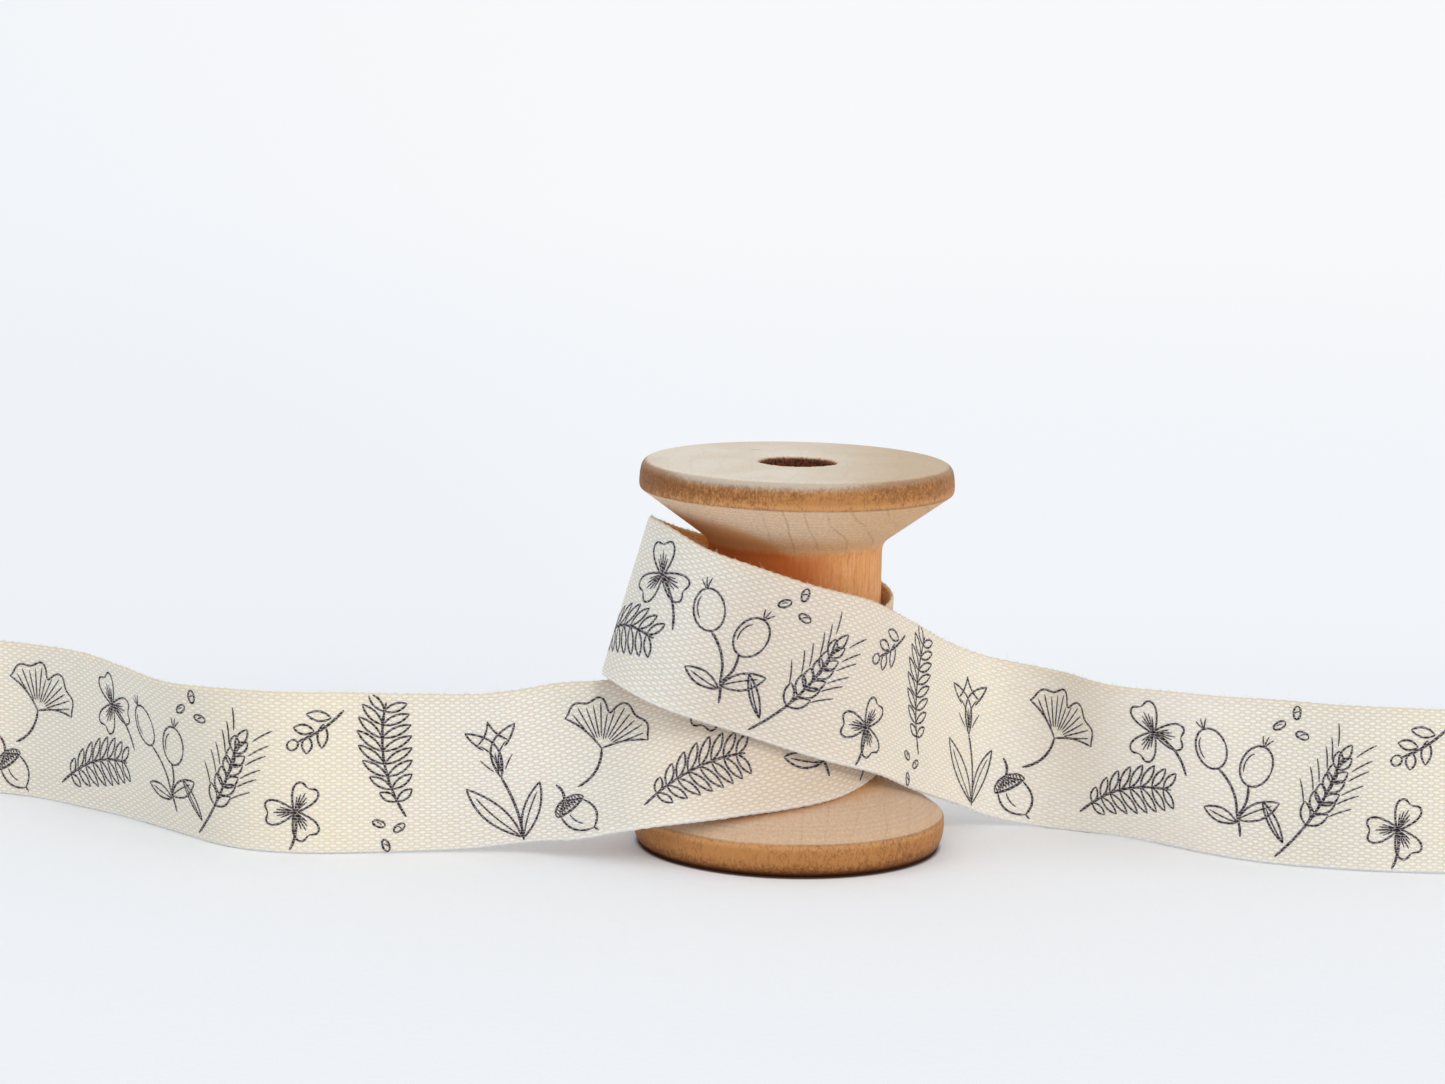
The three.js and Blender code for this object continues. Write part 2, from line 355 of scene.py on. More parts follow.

# Cones: pale above and browner below as painted shade, warmer near core and rim, with broken growth
# lines.
warmth = calc(tree, "MULTIPLY_ADD", patches, 0.5, stored(tree, "warm_wood"))
warmth = calc(tree, "MAXIMUM", ramp(tree, warmth, 0.25, 1.25), right_warmth)
pale = blend(tree, upper, LOWER_CONE_SHADE_TONE, CONE_TONE)
pale = blend(tree, warmth, pale, CONE_WARM_TONE)
pale = blend(tree, right_warmth, pale, RIGHT_WARM_TONE, "MULTIPLY")
broken = times(tree, ramp(tree, patches, 0.4, 0.6, 0.05, 0.55),
               calc(tree, "MULTIPLY_ADD", upper, 0.55, 0.45))
pale = coats(
    tree, pale,
    (ramp(tree, fibres, 0.35, 0.75, 0.0, 0.3), GROWTH_TONE),
    (rings, broken, GROWTH_TONE),
    (dots, 0.26, GROWTH_TONE),
    (tool_marks, blotches, 0.4, GROWTH_TONE),
    (ramp(tree, blotches, 0.5, 0.75, 0.0, 0.2), END_GRAIN_TONE),
    # Painted shade on the upper left of the cone, behind the cloth.
    (painted_left_shade, 0.85, CONE_SHADE_TONE),
    # Painted shade on the lower cone under the ribbon's foot.
    (stored(tree, "ribbon_foot_shade"), ramp(tree, blotches, 0.3, 0.6, 0.45, 0.8), RIBBON_FOOT_SHADE_TONE),
)

# Flat faces: end grain with pores, browner on the right.
faces = coats(
    tree, END_GRAIN_TONE,
    (ramp(tree, patches, 0.4, 0.62, 0.0, 0.5), END_GRAIN_WARM_TONE),
    (at_right, RIGHT_FACE_TONE),
    (rings, 0.07, GROWTH_TONE),
    (pores, 0.14, GROWTH_TONE),
    (dots, 0.1, GROWTH_TONE),
)

# Rims: burnished brown, darker in patches and on the upper left, with a lighter lip; the
# base rim also darkens towards its bottom as painted shade.
burnish_and_shade = stored(tree, "burnish_and_shade")
for by, size in ((patches, 1.0), (dots, 0.7), (blotches, 1.4)):
    burnish_and_shade = swayed(tree, burnish_and_shade, by, size)
rim_left_darkening = times(tree, ramp(tree, to_right, -0.012, 0.012, 0.32, -0.32), upper)
rims = coats(
    tree, RIM_TONE,
    (stored(tree, "lip"), 0.75, RIM_LIGHT_TONE),
    (ramp(tree, calc(tree, "ADD", burnish_and_shade, rim_left_darkening), 0.0, 1.0), RIM_DARK_TONE),
    (ramp(tree, speckle, 0.54, 0.66, 0.0, 0.35), RIM_LIGHT_TONE),
    (ramp(tree, streaks, 0.56, 0.74, 0.0, 0.3), RIM_LIGHT_TONE),
)

# Core: fine streaks, some lighter and some darker, with painted shade on the left behind the cloth.
core = coats(
    tree, CORE_TONE,
    (ramp(tree, streaks, 0.3, 0.5, 0.6, 0.0), CORE_DARK_TONE),
    (ramp(tree, streaks, 0.54, 0.72, 0.0, 0.6), CORE_LIGHT_TONE),
    (dots, 0.22, CORE_DARK_TONE),
    (painted_left_shade, 0.9, CORE_SHADE_TONE),
)

# Bevel: grey-white at front and back, partly rubbed wear and partly painted highlight,
# browner at the sides.
bevel_browning = swayed(tree, swayed(tree, stored(tree, "side_share"), dots, 0.3), patches, 1.2)
bevel_browning = calc(tree, "ADD", bevel_browning, stored(tree, "near_rim"))
bevel = blend(tree, ramp(tree, bevel_browning, 0.1, 0.9), BEVEL_WEAR_AND_HIGHLIGHT_TONE, BEVEL_DARK_TONE)
# The bore is painted dark, as the shade inside the hole.
bore = blend(tree, ramp(tree, speckle, 0.4, 0.6), BORE_SHADE_TONE, BORE_DEEP_SHADE_TONE)

# The borders of the zones wander with the grain, where a zone is only half there.
colour = pale
wobble = calc(tree, "MULTIPLY_ADD", calc(tree, "ADD", speckle, blotches), 3.0, -3.0)
for name, zone in (("end_grain", faces), ("core", core), ("bevel", bevel), ("rim", rims),
                   ("bore", bore)):
    share = stored(tree, name)
    half_there = times(tree, share, calc(tree, "SUBTRACT", 1.0, share))
    share = calc(tree, "MULTIPLY_ADD", half_there, wobble, share)
    share = put(tree, "Clamp", None, Value=share).outputs[0]
    colour = blend(tree, share, colour, zone)
# The base's lowest edge is painted dark, as the shade under its rounded bottom.
colour = coats(
    tree, colour,
    (stored(tree, "rim_line"), ramp(tree, patches, 0.35, 0.6, 0.15, 0.6), RIM_DARK_TONE),
    (stored(tree, "foot"), 0.9, BASE_UNDERSIDE_SHADE_TONE),
)

# One short slit in the top face, where the grain has opened.
SLIT_MIDDLE = (-0.0040, 0.00716, 0.0358)
SLIT_HALF_LENGTH, SLIT_HALF_WIDTH = 0.7 * MM, 0.11 * MM
from_slit = vector_calc(tree, "SUBTRACT", space, i1=SLIT_MIDDLE)
slit = 0.85
for direction, reach in (
    ((0.946, -0.324, 0.0), SLIT_HALF_LENGTH), ((0.324, 0.946, 0.0), SLIT_HALF_WIDTH),
    ((0.0, 0.0, 1.0), SLIT_HALF_LENGTH),
):
    aside = calc(tree, "ABSOLUTE", vector_calc(tree, "DOT_PRODUCT", from_slit, i1=direction))
    slit = times(tree, ramp(tree, aside, 0.4 * reach, reach, 1.0, 0.0), slit)
colour = blend(tree, slit, colour, SLIT_TONE)

relief = 0.0
for part, size in ((fibres, 0.7), (pores, -0.3), (streaks, 0.4), (tool_marks, 0.5)):
    relief = calc(tree, "MULTIPLY_ADD", part, size, relief)
finish_material(tree, colour, (relief, 0.35, 0.06 * MM), Specular_IOR_Level=0.3,
                Roughness=ramp(tree, fibres, 0.3, 0.7, 0.52, 0.68))

# %% [markdown]
# ## The spool's outline
# A lathe cuts one outline, so the spool is that outline carried once around the axis. It
# uses the CAD's own sizes. The fine version has softly rounded corners and points every
# quarter of a millimetre, which leaves room for what a flat facet can't hold: shallow
# tool rings, a slightly uneven rim and a ragged bore mouth.

# %% Spool sizes, as in the CAD
SPOOL_HEIGHT = 35.8 * MM
FLANGE_RADIUS = 14.5 * MM
TOP_FACE_RADIUS = 13.7 * MM
BASE_FACE_RADIUS = 13.5 * MM
TOP_RING_HEIGHT = 2.1 * MM
BASE_RING_HEIGHT = 2.3 * MM
TOP_RIM_HEIGHT = 2.55 * MM
BASE_RIM_HEIGHT = 3.05 * MM
RIM_ROUNDING = 0.25 * MM
EDGE_ROUNDING = 0.4 * MM
RIM_DRAFT = 0.06 * MM
CONE_HEIGHT = 4.7 * MM
CORE_RADIUS = 8.0 * MM
CORE_FILLET = 0.85 * MM
BORE_RADIUS = 3.5 * MM
BORE_CHAMFER = 0.35 * MM
CHAMFER_ROUNDING = 0.2 * MM
SEAT_HEIGHT = BASE_RIM_HEIGHT + CONE_HEIGHT
TOP_EDGE_SHARES = [(0, 0), (0.5, 0.1), (0.78, 0.27), (0.93, 0.58), (1, 1)]
BASE_EDGE_SHARES = [(0, 0), (0.3, 0.04), (0.52, 0.14), (0.72, 0.3), (0.87, 0.5),
                    (0.97, 0.75), (1, 1)]
OUTLINE_STEP = 0.25 * MM


def rounded_outline(corners):
    """Corners are (radius, height, rounding). Returns a smooth list of places."""
    spots = [np.array(c[:2], dtype=float) for c in corners]
    way = [spots[0]]
    for i in range(1, len(spots) - 1):
        before, after = spots[i - 1] - spots[i], spots[i + 1] - spots[i]
        reach = min(corners[i][2], 0.45 * np.hypot(*before), 0.45 * np.hypot(*after))
        start = spots[i] + before / np.hypot(*before) * reach
        end = spots[i] + after / np.hypot(*after) * reach
        for t in np.linspace(0, 1, 7):
            way.append((1 - t) ** 2 * start + 2 * t * (1 - t) * spots[i] + t ** 2 * end)
    return np.array(way + [spots[-1]])


def flange_corners(edge_shares, face_radius, ring_height, rim_height):
    """One flange from its flat face to the core's fillet, as height above the face."""
    out_by = FLANGE_RADIUS - face_radius
    edge = [(face_radius + out * out_by, up * ring_height, EDGE_ROUNDING)
            for out, up in edge_shares]
    return edge + [
        (FLANGE_RADIUS - RIM_DRAFT, rim_height, RIM_ROUNDING),
        (CORE_RADIUS, rim_height + CONE_HEIGHT, CORE_FILLET),
    ]


def half_outline(*flange):
    """From the middle of the bore out to the core, as height above one face."""
    return [(BORE_RADIUS, SPOOL_HEIGHT / 2, 0.0), (BORE_RADIUS, BORE_CHAMFER, CHAMFER_ROUNDING),
            (BORE_RADIUS + BORE_CHAMFER, 0.0, CHAMFER_ROUNDING)] + flange_corners(*flange)


corners = half_outline(BASE_EDGE_SHARES, BASE_FACE_RADIUS, BASE_RING_HEIGHT, BASE_RIM_HEIGHT)
top_corners = half_outline(TOP_EDGE_SHARES, TOP_FACE_RADIUS, TOP_RING_HEIGHT, TOP_RIM_HEIGHT)
corners += [(r, SPOOL_HEIGHT - z, k) for r, z, k in reversed(top_corners)]


def lengths_along(path):
    """Distance of each place of a path from its start."""
    return np.concatenate([[0], np.cumsum(np.linalg.norm(np.diff(path, axis=0), axis=1))])


rough_way = rounded_outline(corners)
step_lengths = np.hypot(*np.diff(rough_way, axis=0).T)
rough_way = rough_way[np.concatenate([[True], step_lengths > 1e-9])]
along_way = lengths_along(rough_way)
extra = np.arange(0, along_way[-1], OUTLINE_STEP)
stops = np.unique(np.round(np.concatenate([along_way[:-1], extra]), 6))
outline = np.column_stack([np.interp(stops, along_way, rough_way[:, k]) for k in (0, 1)])
print("outline places", len(outline), "length", round(along_way[-1] / MM, 1), "mm")

# %% [markdown]
# ## Turning the spool
# Each outline place becomes a ring. Small seeded waves shift the rings: the rim by a few
# hundredths of a millimetre, the bore's mouth by up to nearly half a millimetre, because
# the drill tears the fibres where it comes out. The zones for the wood material are
# worked out from the same radius and height.

# %% Spool mesh
TURN_STEPS = 216
TOOL_RING_PITCH, TOOL_RING_DEPTH = 0.42 * MM, 0.006 * MM
MOUTH_WAVE, MOUTH_REACH = 0.45 * MM, 1.6 * MM
RIM_WAVE = 0.03 * MM
RIM_WAVE_START, RIM_WAVE_FULL = 13.2 * MM, 14.3 * MM
CONE_START, CONE_FULL = 8.6 * MM, 9.5 * MM
OUTER_RADIUS = 12 * MM


def eased(value, low, high):
    """Smooth step, for arrays."""
    share = np.clip((value - low) / (high - low), 0, 1)
    return share * share * (3 - 2 * share)


def waves(angles, counts, seed):
    """Sum of seeded waves around the axis, between about -1 and 1."""
    draw = np.random.default_rng(seed)
    total = np.zeros_like(angles)
    for count in counts:
        total += draw.uniform(0.5, 1) * np.sin(count * angles + draw.uniform(0, 2 * np.pi))
    return total / len(counts)


angles = np.arange(TURN_STEPS) * 2 * np.pi / TURN_STEPS
radius, height = outline[:, 0], outline[:, 1]
from_face = np.minimum(height, SPOOL_HEIGHT - height)
inside_bore = radius < BORE_RADIUS + 0.6 * BORE_CHAMFER
at_mouth = eased(radius, CORE_RADIUS, BORE_RADIUS) * eased(from_face, MOUTH_REACH, 0.0)
mouth_waves = waves(angles, (3, 5, 7, 13, 19, 29, 41, 53, 67), 3) * MOUTH_WAVE
rim_waves = waves(angles, (2, 3, 5, 11), 8) * RIM_WAVE
at_rim = eased(radius, RIM_WAVE_START, RIM_WAVE_FULL)
top_half = height > SPOOL_HEIGHT / 2
rim_end = np.where(top_half, TOP_RIM_HEIGHT, BASE_RIM_HEIGHT)
outer = radius > OUTER_RADIUS
on_cone = eased(from_face, rim_end, rim_end + 0.5 * MM) * eased(radius, CONE_START, CONE_FULL)
cut = np.sin(from_face / TOOL_RING_PITCH * 2 * np.pi) * TOOL_RING_DEPTH * on_cone

all_radius = (radius + cut)[:, None] + np.outer(at_mouth, mouth_waves) + np.outer(at_rim, rim_waves)
all_height = np.broadcast_to(height[:, None], all_radius.shape)
points = np.stack([all_radius * np.cos(angles), all_radius * np.sin(angles), all_height], axis=-1)
faces = []
for i in range(len(outline)):
    first, above = i * TURN_STEPS, (i + 1) % len(outline) * TURN_STEPS
    for k in range(TURN_STEPS):
        m = (k + 1) % TURN_STEPS
        faces.append((first + k, first + m, above + m, above + k))
spool = new_piece("turned_spool_fine", points.reshape(-1, 3), faces, wood)

# %% [markdown]
# ## Where the tool and the hand have been, and where shade and highlight are painted
# A zone is a number from 0 to 1 on every point. Zones that go evenly around are worked
# out per ring. The bevel is grey-white at front and back, partly rubbed wear and partly
# painted highlight. The upper core carries painted shade on the left behind the cloth,
# and on the lower cone a painted shade under the ribbon's foot reaches further out on
# the left. The base rim darkens towards its bottom, and its lowest edge and the bore are
# painted dark, all as painted shade.

# %% Spool zones
FRONT_TURN = math.radians(-100)
LEFT_TURN = math.radians(-145)
RIM_BORDER, FOOT_CORNER = 0.06 * MM, 0.1 * MM
BEVEL_WIDTH, BEVEL_NARROWING = 0.68 * MM, 0.3 * MM
TOP_BORDER, BASE_BORDER, CORE_BORDER = 0.45 * MM, 0.25 * MM, 0.45 * MM
SHADE_CLIMB = 3.0 * MM
WARM_REACH, UNDER_RIM_REACH = 2.6 * MM, 1.1 * MM
TOOL_MARK_PITCH = 0.36 * MM
# Turn in degrees, radius in millimetres that the painted shade of the lower cone reaches.
RIBBON_FOOT_SHADE_REACH = [(-180, 10.4), (-150, 12.2), (-121, 12.9), (-109, 12.4), (-97, 11.8),
              (-82, 11.1), (-65, 10.4), (-46, 9.8), (-25, 9.4), (120, 9.4), (180, 10.4)]


def ring_line(middle, reach):
    """A soft line around the outside at one height from the face."""
    return np.exp(-((from_face - middle) / reach) ** 2) * outer


seat = rim_end + CONE_HEIGHT
depth_in = from_face[:, None]
top_row = top_half[:, None]
wood_row = ~inside_bore[:, None]
# Share at the sides: there the bevel is narrower and browner and the rims darker; at front and back
# the bevel's grey-white is rubbed wear and painted highlight.
worn_waves = np.cos(2 * (angles - FRONT_TURN)) + 0.3 * waves(angles, (3, 5, 7, 11), 21)
side_share = eased(worn_waves, 1.0, -0.6)[None, :]
on_rim = outer * eased(from_face, rim_end + RIM_BORDER, rim_end - RIM_BORDER)
rim_start = np.where(top_row, BEVEL_WIDTH - BEVEL_NARROWING * side_share, FOOT_CORNER)
border = np.where(top_row, TOP_BORDER, BASE_BORDER)
burnt_top = eased(from_face, TOP_RIM_HEIGHT - 0.3 * MM, 1.4 * MM) * 0.3 + 0.12
# The base rim's burnish darkens towards its bottom as painted shade.
base_burnish_and_shade = eased(from_face, 1.7 * MM, 0.5 * MM) * 0.6 + 0.15
burnish_and_shade = np.where(top_half, burnt_top, base_burnish_and_shade)[:, None] + side_share * np.where(top_row, 0.45, 0.1)
# Painted shade on the upper cone and core, climbing higher on the left behind the cloth.
to_left = np.cos(angles - LEFT_TURN)[None, :]
climb = eased(to_left, 0.55, 1.0) * SHADE_CLIMB
painted_left_shade = eased(depth_in - seat[:, None] + climb, -0.4 * MM, 1.2 * MM)
# Painted shade on the lower cone under the ribbon's foot, reaching further out on the left.
lower_turn, lower_reach = np.array(RIBBON_FOOT_SHADE_REACH).T
turned_to = (np.degrees(angles) + 180) % 360 - 180
reach_out = np.interp(turned_to, lower_turn, lower_reach)[None, :] * MM
ribbon_foot_shade = eased(radius[:, None] - reach_out, 0.55 * MM, -0.65 * MM)
zones = {
    "end_grain": eased(from_face, 0.2 * MM, 0.02 * MM) * ~inside_bore,
    "bevel": eased(from_face, 0.02 * MM, 0.22 * MM) * on_rim * top_half,
    "rim": eased(depth_in - rim_start, -border, border) * on_rim[:, None],
    "burnish_and_shade": burnish_and_shade,
    "side_share": np.broadcast_to(side_share, all_radius.shape),
    "lip": ring_line(rim_end - 0.25 * MM, 0.28 * MM),
    "core": eased(from_face, seat - CORE_BORDER, seat + CORE_BORDER) * ~inside_bore,
    "warm_wood": eased(from_face, seat - WARM_REACH, seat)
    + eased(from_face, rim_end + UNDER_RIM_REACH, rim_end) * 0.3,
    "painted_left_shade": painted_left_shade * eased(to_left, -0.1, 0.65) * wood_row * top_row,
    "ribbon_foot_shade": ribbon_foot_shade * wood_row * ~top_row * (depth_in > BASE_RIM_HEIGHT),
    "bore": eased(radius, BORE_RADIUS + 0.75 * BORE_CHAMFER, BORE_RADIUS + 0.1 * BORE_CHAMFER),
    # The base's lowest edge is painted dark, as the shade under its rounded bottom.
    "foot": eased(from_face, 0.75 * MM, 0.2 * MM) * ~top_half * (radius > CORE_RADIUS),
    "near_rim": eased(depth_in - rim_start, -0.5 * MM, 0.1 * MM) * 0.45,
    "upper": top_half,
    "rim_line": ring_line(rim_end + 0.03 * MM, 0.07 * MM),
    "tool_marks": np.sin(radius / TOOL_MARK_PITCH * 2 * np.pi) * on_cone * 0.5 + 0.5,
}
for name, values in zones.items():
    store(spool, name, values if values.ndim == 2 else np.repeat(values, TURN_STEPS))
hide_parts("turned_spool")
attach(spool, "spool")
print("spool zones", len(zones))

# %% [markdown]
# ## The ribbon's way
# The ribbon stands on its edge. It comes in from the left, climbs the lower cone in
# front, goes once around the core, folds over on the left, crosses its own first pass
# and runs off to the right. Its middle line is a smooth curve through points that are
# shares of the spool's sizes, the same ones as in the CAD. Each point also has a lean,
# which tips the upper edge to the right of the way. The cloth is a little thinner than
# its solid, which leaves room for the print.

# %% Ribbon sizes and places
RIBBON_THICKNESS = 0.36 * MM
TAIL_REACH = 79.0 * MM
FOLD_LIFT = 1.4 * MM
TABLE_GAP = 0.05 * MM
CROSSING_ROOM = 0.2 * MM
RIBBON_WIDTH = (SPOOL_HEIGHT - TOP_RIM_HEIGHT - BASE_RIM_HEIGHT - CROSSING_ROOM) / 2
CROSSING_HEIGHT = RIBBON_WIDTH + FOLD_LIFT
HALF_WIDTH = RIBBON_WIDTH / 2

# Run away from the flange, sideways, height level, lean.
LEFT_TAIL_SHARES = [
    (1, 0.78, 0, 2), (0.93, 0.7, 0, 1.5), (0.845, 0.503, 0, 0), (0.775, 0.24, 0, 3),
    (0.71, -0.062, 0, 8), (0.647, -0.36, 0, 10), (0.572, -0.6, 0, 5), (0.484, -0.703, 0, 1),
    (0.392, -0.67, 0, 2), (0.299, -0.634, 0.01, 5), (0.208, -0.62, 0.042, 8),
    (0.122, -0.628, 0.11, 0), (0.045, -0.614, 0.264, -22),
]
# Turn in degrees, share of the way out from the core, height level, lean.
WRAP_SHARES = [
    (-145, 1.19, 0.42, -25), (-131.2, 0.732, 0.562, -19), (-108, 0.37, 0.715, -13),
    (-74, 0.21, 0.848, -7.5), (-35, 0.1, 0.968, -1.5), (4.6, 0.12, 1.075, 1.5),
    (44, 0.14, 1.19, 1.7), (84, 0.116, 1.32, 1), (121, 0.136, 1.457, 1.5),
    (153, 0.427, 1.607, 0), (170.2, 0.767, 1.742, -4), (184, 1.05, 1.9, -10),
    (198, 1.212, 2.009, -17), (212, 1.215, 1.966, -16), (225.5, 1.097, 1.806, -8),
    (244, 0.737, 1.613, 0), (271, 0.508, 1.411, 2), (300.7, 0.397, 1.209, -3),
    (334.8, 0.36, 0.954, -6), (361.4, 0.63, 0.671, -6.5), (379.4, 1.265, 0.398, -11),
    (385.3, 2.155, 0.136, -15),
]
RIGHT_TAIL_SHARES = [
    (0.164, 0.593, 0.004, -5), (0.234, 0.352, 0.007, 7), (0.313, 0.131, 0.005, 6),
    (0.392, -0.069, 0, -1.7), (0.478, -0.207, 0.01, -8.6), (0.571, -0.276, 0.008, -12),
    (0.682, -0.31, 0.008, -12), (0.829, -0.331, 0.005, -9), (1, -0.359, 0.005, -6),
]


def middle_height(level, lean):
    """Height of the middle line: levels 0, 1 and 2 are table, core's foot and crossing."""
    lift = min(level, 1) * SEAT_HEIGHT + max(level - 1, 0) * (CROSSING_HEIGHT - SEAT_HEIGHT)
    return TABLE_GAP + lift + HALF_WIDTH * math.cos(math.radians(lean))


def tail_place(direction, run, sideways, level, lean):
    x = direction * (FLANGE_RADIUS + run * (TAIL_REACH - FLANGE_RADIUS))
    return (x, sideways * FLANGE_RADIUS, middle_height(level, lean), lean)


def wrap_place(turn_degrees, out, level, lean):
    reach = CORE_RADIUS + out * (FLANGE_RADIUS - CORE_RADIUS)
    angle = math.radians(turn_degrees)
    return (reach * math.cos(angle), reach * math.sin(angle), middle_height(level, lean), lean)


places = [tail_place(-1, *row) for row in LEFT_TAIL_SHARES]
places += [wrap_place(*row) for row in WRAP_SHARES]
places += [tail_place(1, *row) for row in RIGHT_TAIL_SHARES]
places = np.array(places)
print("ribbon places", len(places))

# %% Smooth curve through the places
def natural_spline(knots, values):
    """Natural cubic spline through all columns; returns a function of length."""
    count = len(knots)
    gaps = np.diff(knots)
    slopes = np.diff(values, axis=0) / gaps[:, None]
    matrix = np.eye(count)
    right = np.zeros((count, values.shape[1]))
    for i in range(1, count - 1):
        matrix[i, i - 1:i + 2] = (gaps[i - 1] / 6, (gaps[i - 1] + gaps[i]) / 3, gaps[i] / 6)
        right[i] = slopes[i] - slopes[i - 1]
    second = np.linalg.solve(matrix, right)

    def at(s):
        s = np.clip(s, knots[0], knots[-1])
        i = np.clip(np.searchsorted(knots, s, side="right") - 1, 0, count - 2)
        h = gaps[i][:, None]
        b = ((s - knots[i]) / gaps[i])[:, None]
        a = 1 - b
        bend = (a ** 3 - a) * second[i] + (b ** 3 - b) * second[i + 1]
        return a * values[i] + b * values[i + 1] + bend * h * h / 6

    return at


knots = lengths_along(places[:, :3])
RIBBON_LENGTH = knots[-1]
DIRECTION_STEP = 0.3 * MM
ribbon_at = natural_spline(knots, places)


def ribbon_frames(along_lengths):
    """Middle, across and facing directions at distances along the ribbon."""
    s = np.asarray(along_lengths, dtype=float)
    here = ribbon_at(s)
    way = ribbon_at(s + DIRECTION_STEP)[:, :3] - ribbon_at(s - DIRECTION_STEP)[:, :3]
    way /= np.linalg.norm(way, axis=1)[:, None]
    up = np.array([0, 0, 1.0]) - way * way[:, 2:3]
    up /= np.linalg.norm(up, axis=1)[:, None]
    side = np.cross(way, up)
    lean = np.radians(here[:, 3])[:, None]
    across = np.cos(lean) * up + np.sin(lean) * side
    return here[:, :3], across, np.cross(way, across)


print("ribbon", round(RIBBON_LENGTH / MM, 1), "mm long,", round(RIBBON_WIDTH / MM, 2), "mm wide")

# %% [markdown]
# ## Unevenness of real ribbon
# Soft cotton never lies quite true: it ripples by a few hundredths of a millimetre, its
# edges waver, and in front of the flange its foot settles outwards. Seeded functions
# give these offsets for any place on the ribbon, so that the cloth, its print and its
# loose fibres all follow the same surface.

# %% Ribbon surface
RIPPLE_COUNT, RIPPLE_SIZE = 14, 0.09 * MM
LOOP_PITCH, LOOP_WANDER = 0.86 * MM, 1.1 * MM
# Share of the width, millimetres along for one radian, phase.
SLOW_WAVES = ((0.0035, 1.7, 0.0), (0.003, 4.3, 1.0))
ripple_draw = np.random.default_rng(12)
RIPPLES = [
    (ripple_draw.uniform(0.25, 1.1) / MM * 0.25, ripple_draw.uniform(-0.3, 0.3) / MM,
     ripple_draw.uniform(0, 6.28), ripple_draw.uniform(0.4, 1.0))
    for _ in range(RIPPLE_COUNT)
]
# Share of the ribbon's length, millimetres that the foot settles by.
SETTLE_SHARES = [(0.2, 0.0), (0.23, -0.2), (0.255, -0.65), (0.275, -0.75), (0.295, -0.4),
                 (0.315, 0.05), (0.335, 0.38), (0.36, 0.42), (0.39, 0.25), (0.42, 0.0)]


def along_ribbon(table, s):
    """Value of a table of (share of the length, value) at a distance along the ribbon."""
    shares, values = np.array(table).T
    return np.interp(np.asarray(s) / RIBBON_LENGTH, shares, values)


def ripple(s, w):
    """Small offset along the facing direction, in metres."""
    total = np.zeros(np.broadcast(s, w).shape)
    for along_rate, across_rate, phase, size in RIPPLES:
        total = total + size * np.sin(along_rate * s + across_rate * w + phase)
    return total / RIPPLE_COUNT * RIPPLE_SIZE


def edge_waver(s, w):
    """Share by which a distance across grows: slow waves, and small selvedge loops."""
    slow = sum(size * np.sin(s / (reach * MM) + phase) for size, reach, phase in SLOW_WAVES)
    at_edge = np.clip((np.abs(w) - 0.9 * HALF_WIDTH) / (0.1 * HALF_WIDTH), 0, 1) ** 2
    loops = 0.004 * np.sin(s * 2 * np.pi / LOOP_PITCH + 2.0 * np.sin(s / LOOP_WANDER))
    return 1 + slow + at_edge * loops


def reach_across(s, w):
    """Distance from the middle line, with the settled foot."""
    low = np.clip(-w / HALF_WIDTH, 0, 1)
    settled = along_ribbon(SETTLE_SHARES, s) * MM * low ** 2 * (3 - 2 * low)
    return w * edge_waver(s, w) - settled


def ribbon_surface(s, w, out):
    """Points of the ribbon: s along, w across from the middle, out from the sheet."""
    s, w, out = (np.asarray(v, dtype=float) for v in np.broadcast_arrays(s, w, out))
    middle, across, facing = ribbon_frames(s.ravel())
    reach = reach_across(s, w).ravel()[:, None]
    offset = (out + ripple(s, w)).ravel()[:, None]
    return middle + across * reach + facing * offset


print("ripple at the start", float(ripple(0.01, 0.0)) / MM, "mm")

# %% [markdown]
# ## Plain weave
# The ribbon is plain-woven cotton: each warp thread goes over one weft and under the
# next, and its neighbour does the opposite. The eye sees rows of small oval bumps,
# shifted by half a step from row to row. The group below draws one such bump per cell
# from thread coordinates: one unit is one raised float lengthways, which is two weft
# threads, and one warp thread across. It gives the height for the bump, a mask of the
# thread tops and a number for each thread. Cotton and ink both use it, so the ink breaks
# up on the same threads.

# %% Node group: plain weave
BUMP_ALONG = 1.0 * MM
BUMP_ACROSS = 0.275 * MM
LONGER_BUMPS = 2.3


def oval(tree, x, y, half_x, half_y):
    """Height of a half-ellipsoid bump, 0 outside it."""
    a, b = (calc(tree, "POWER", calc(tree, "DIVIDE", v, half), 2.0)
            for v, half in ((x, half_x), (y, half_y)))
    left = calc(tree, "SUBTRACT", 1.0, calc(tree, "ADD", a, b))
    return calc(tree, "SQRT", calc(tree, "MAXIMUM", left, 0.0))


def from_middle(tree, value):
    """Distance from the middle of a cell one unit wide, between -0.5 and 0.5."""
    return calc(tree, "SUBTRACT", calc(tree, "FRACT", value), 0.5)


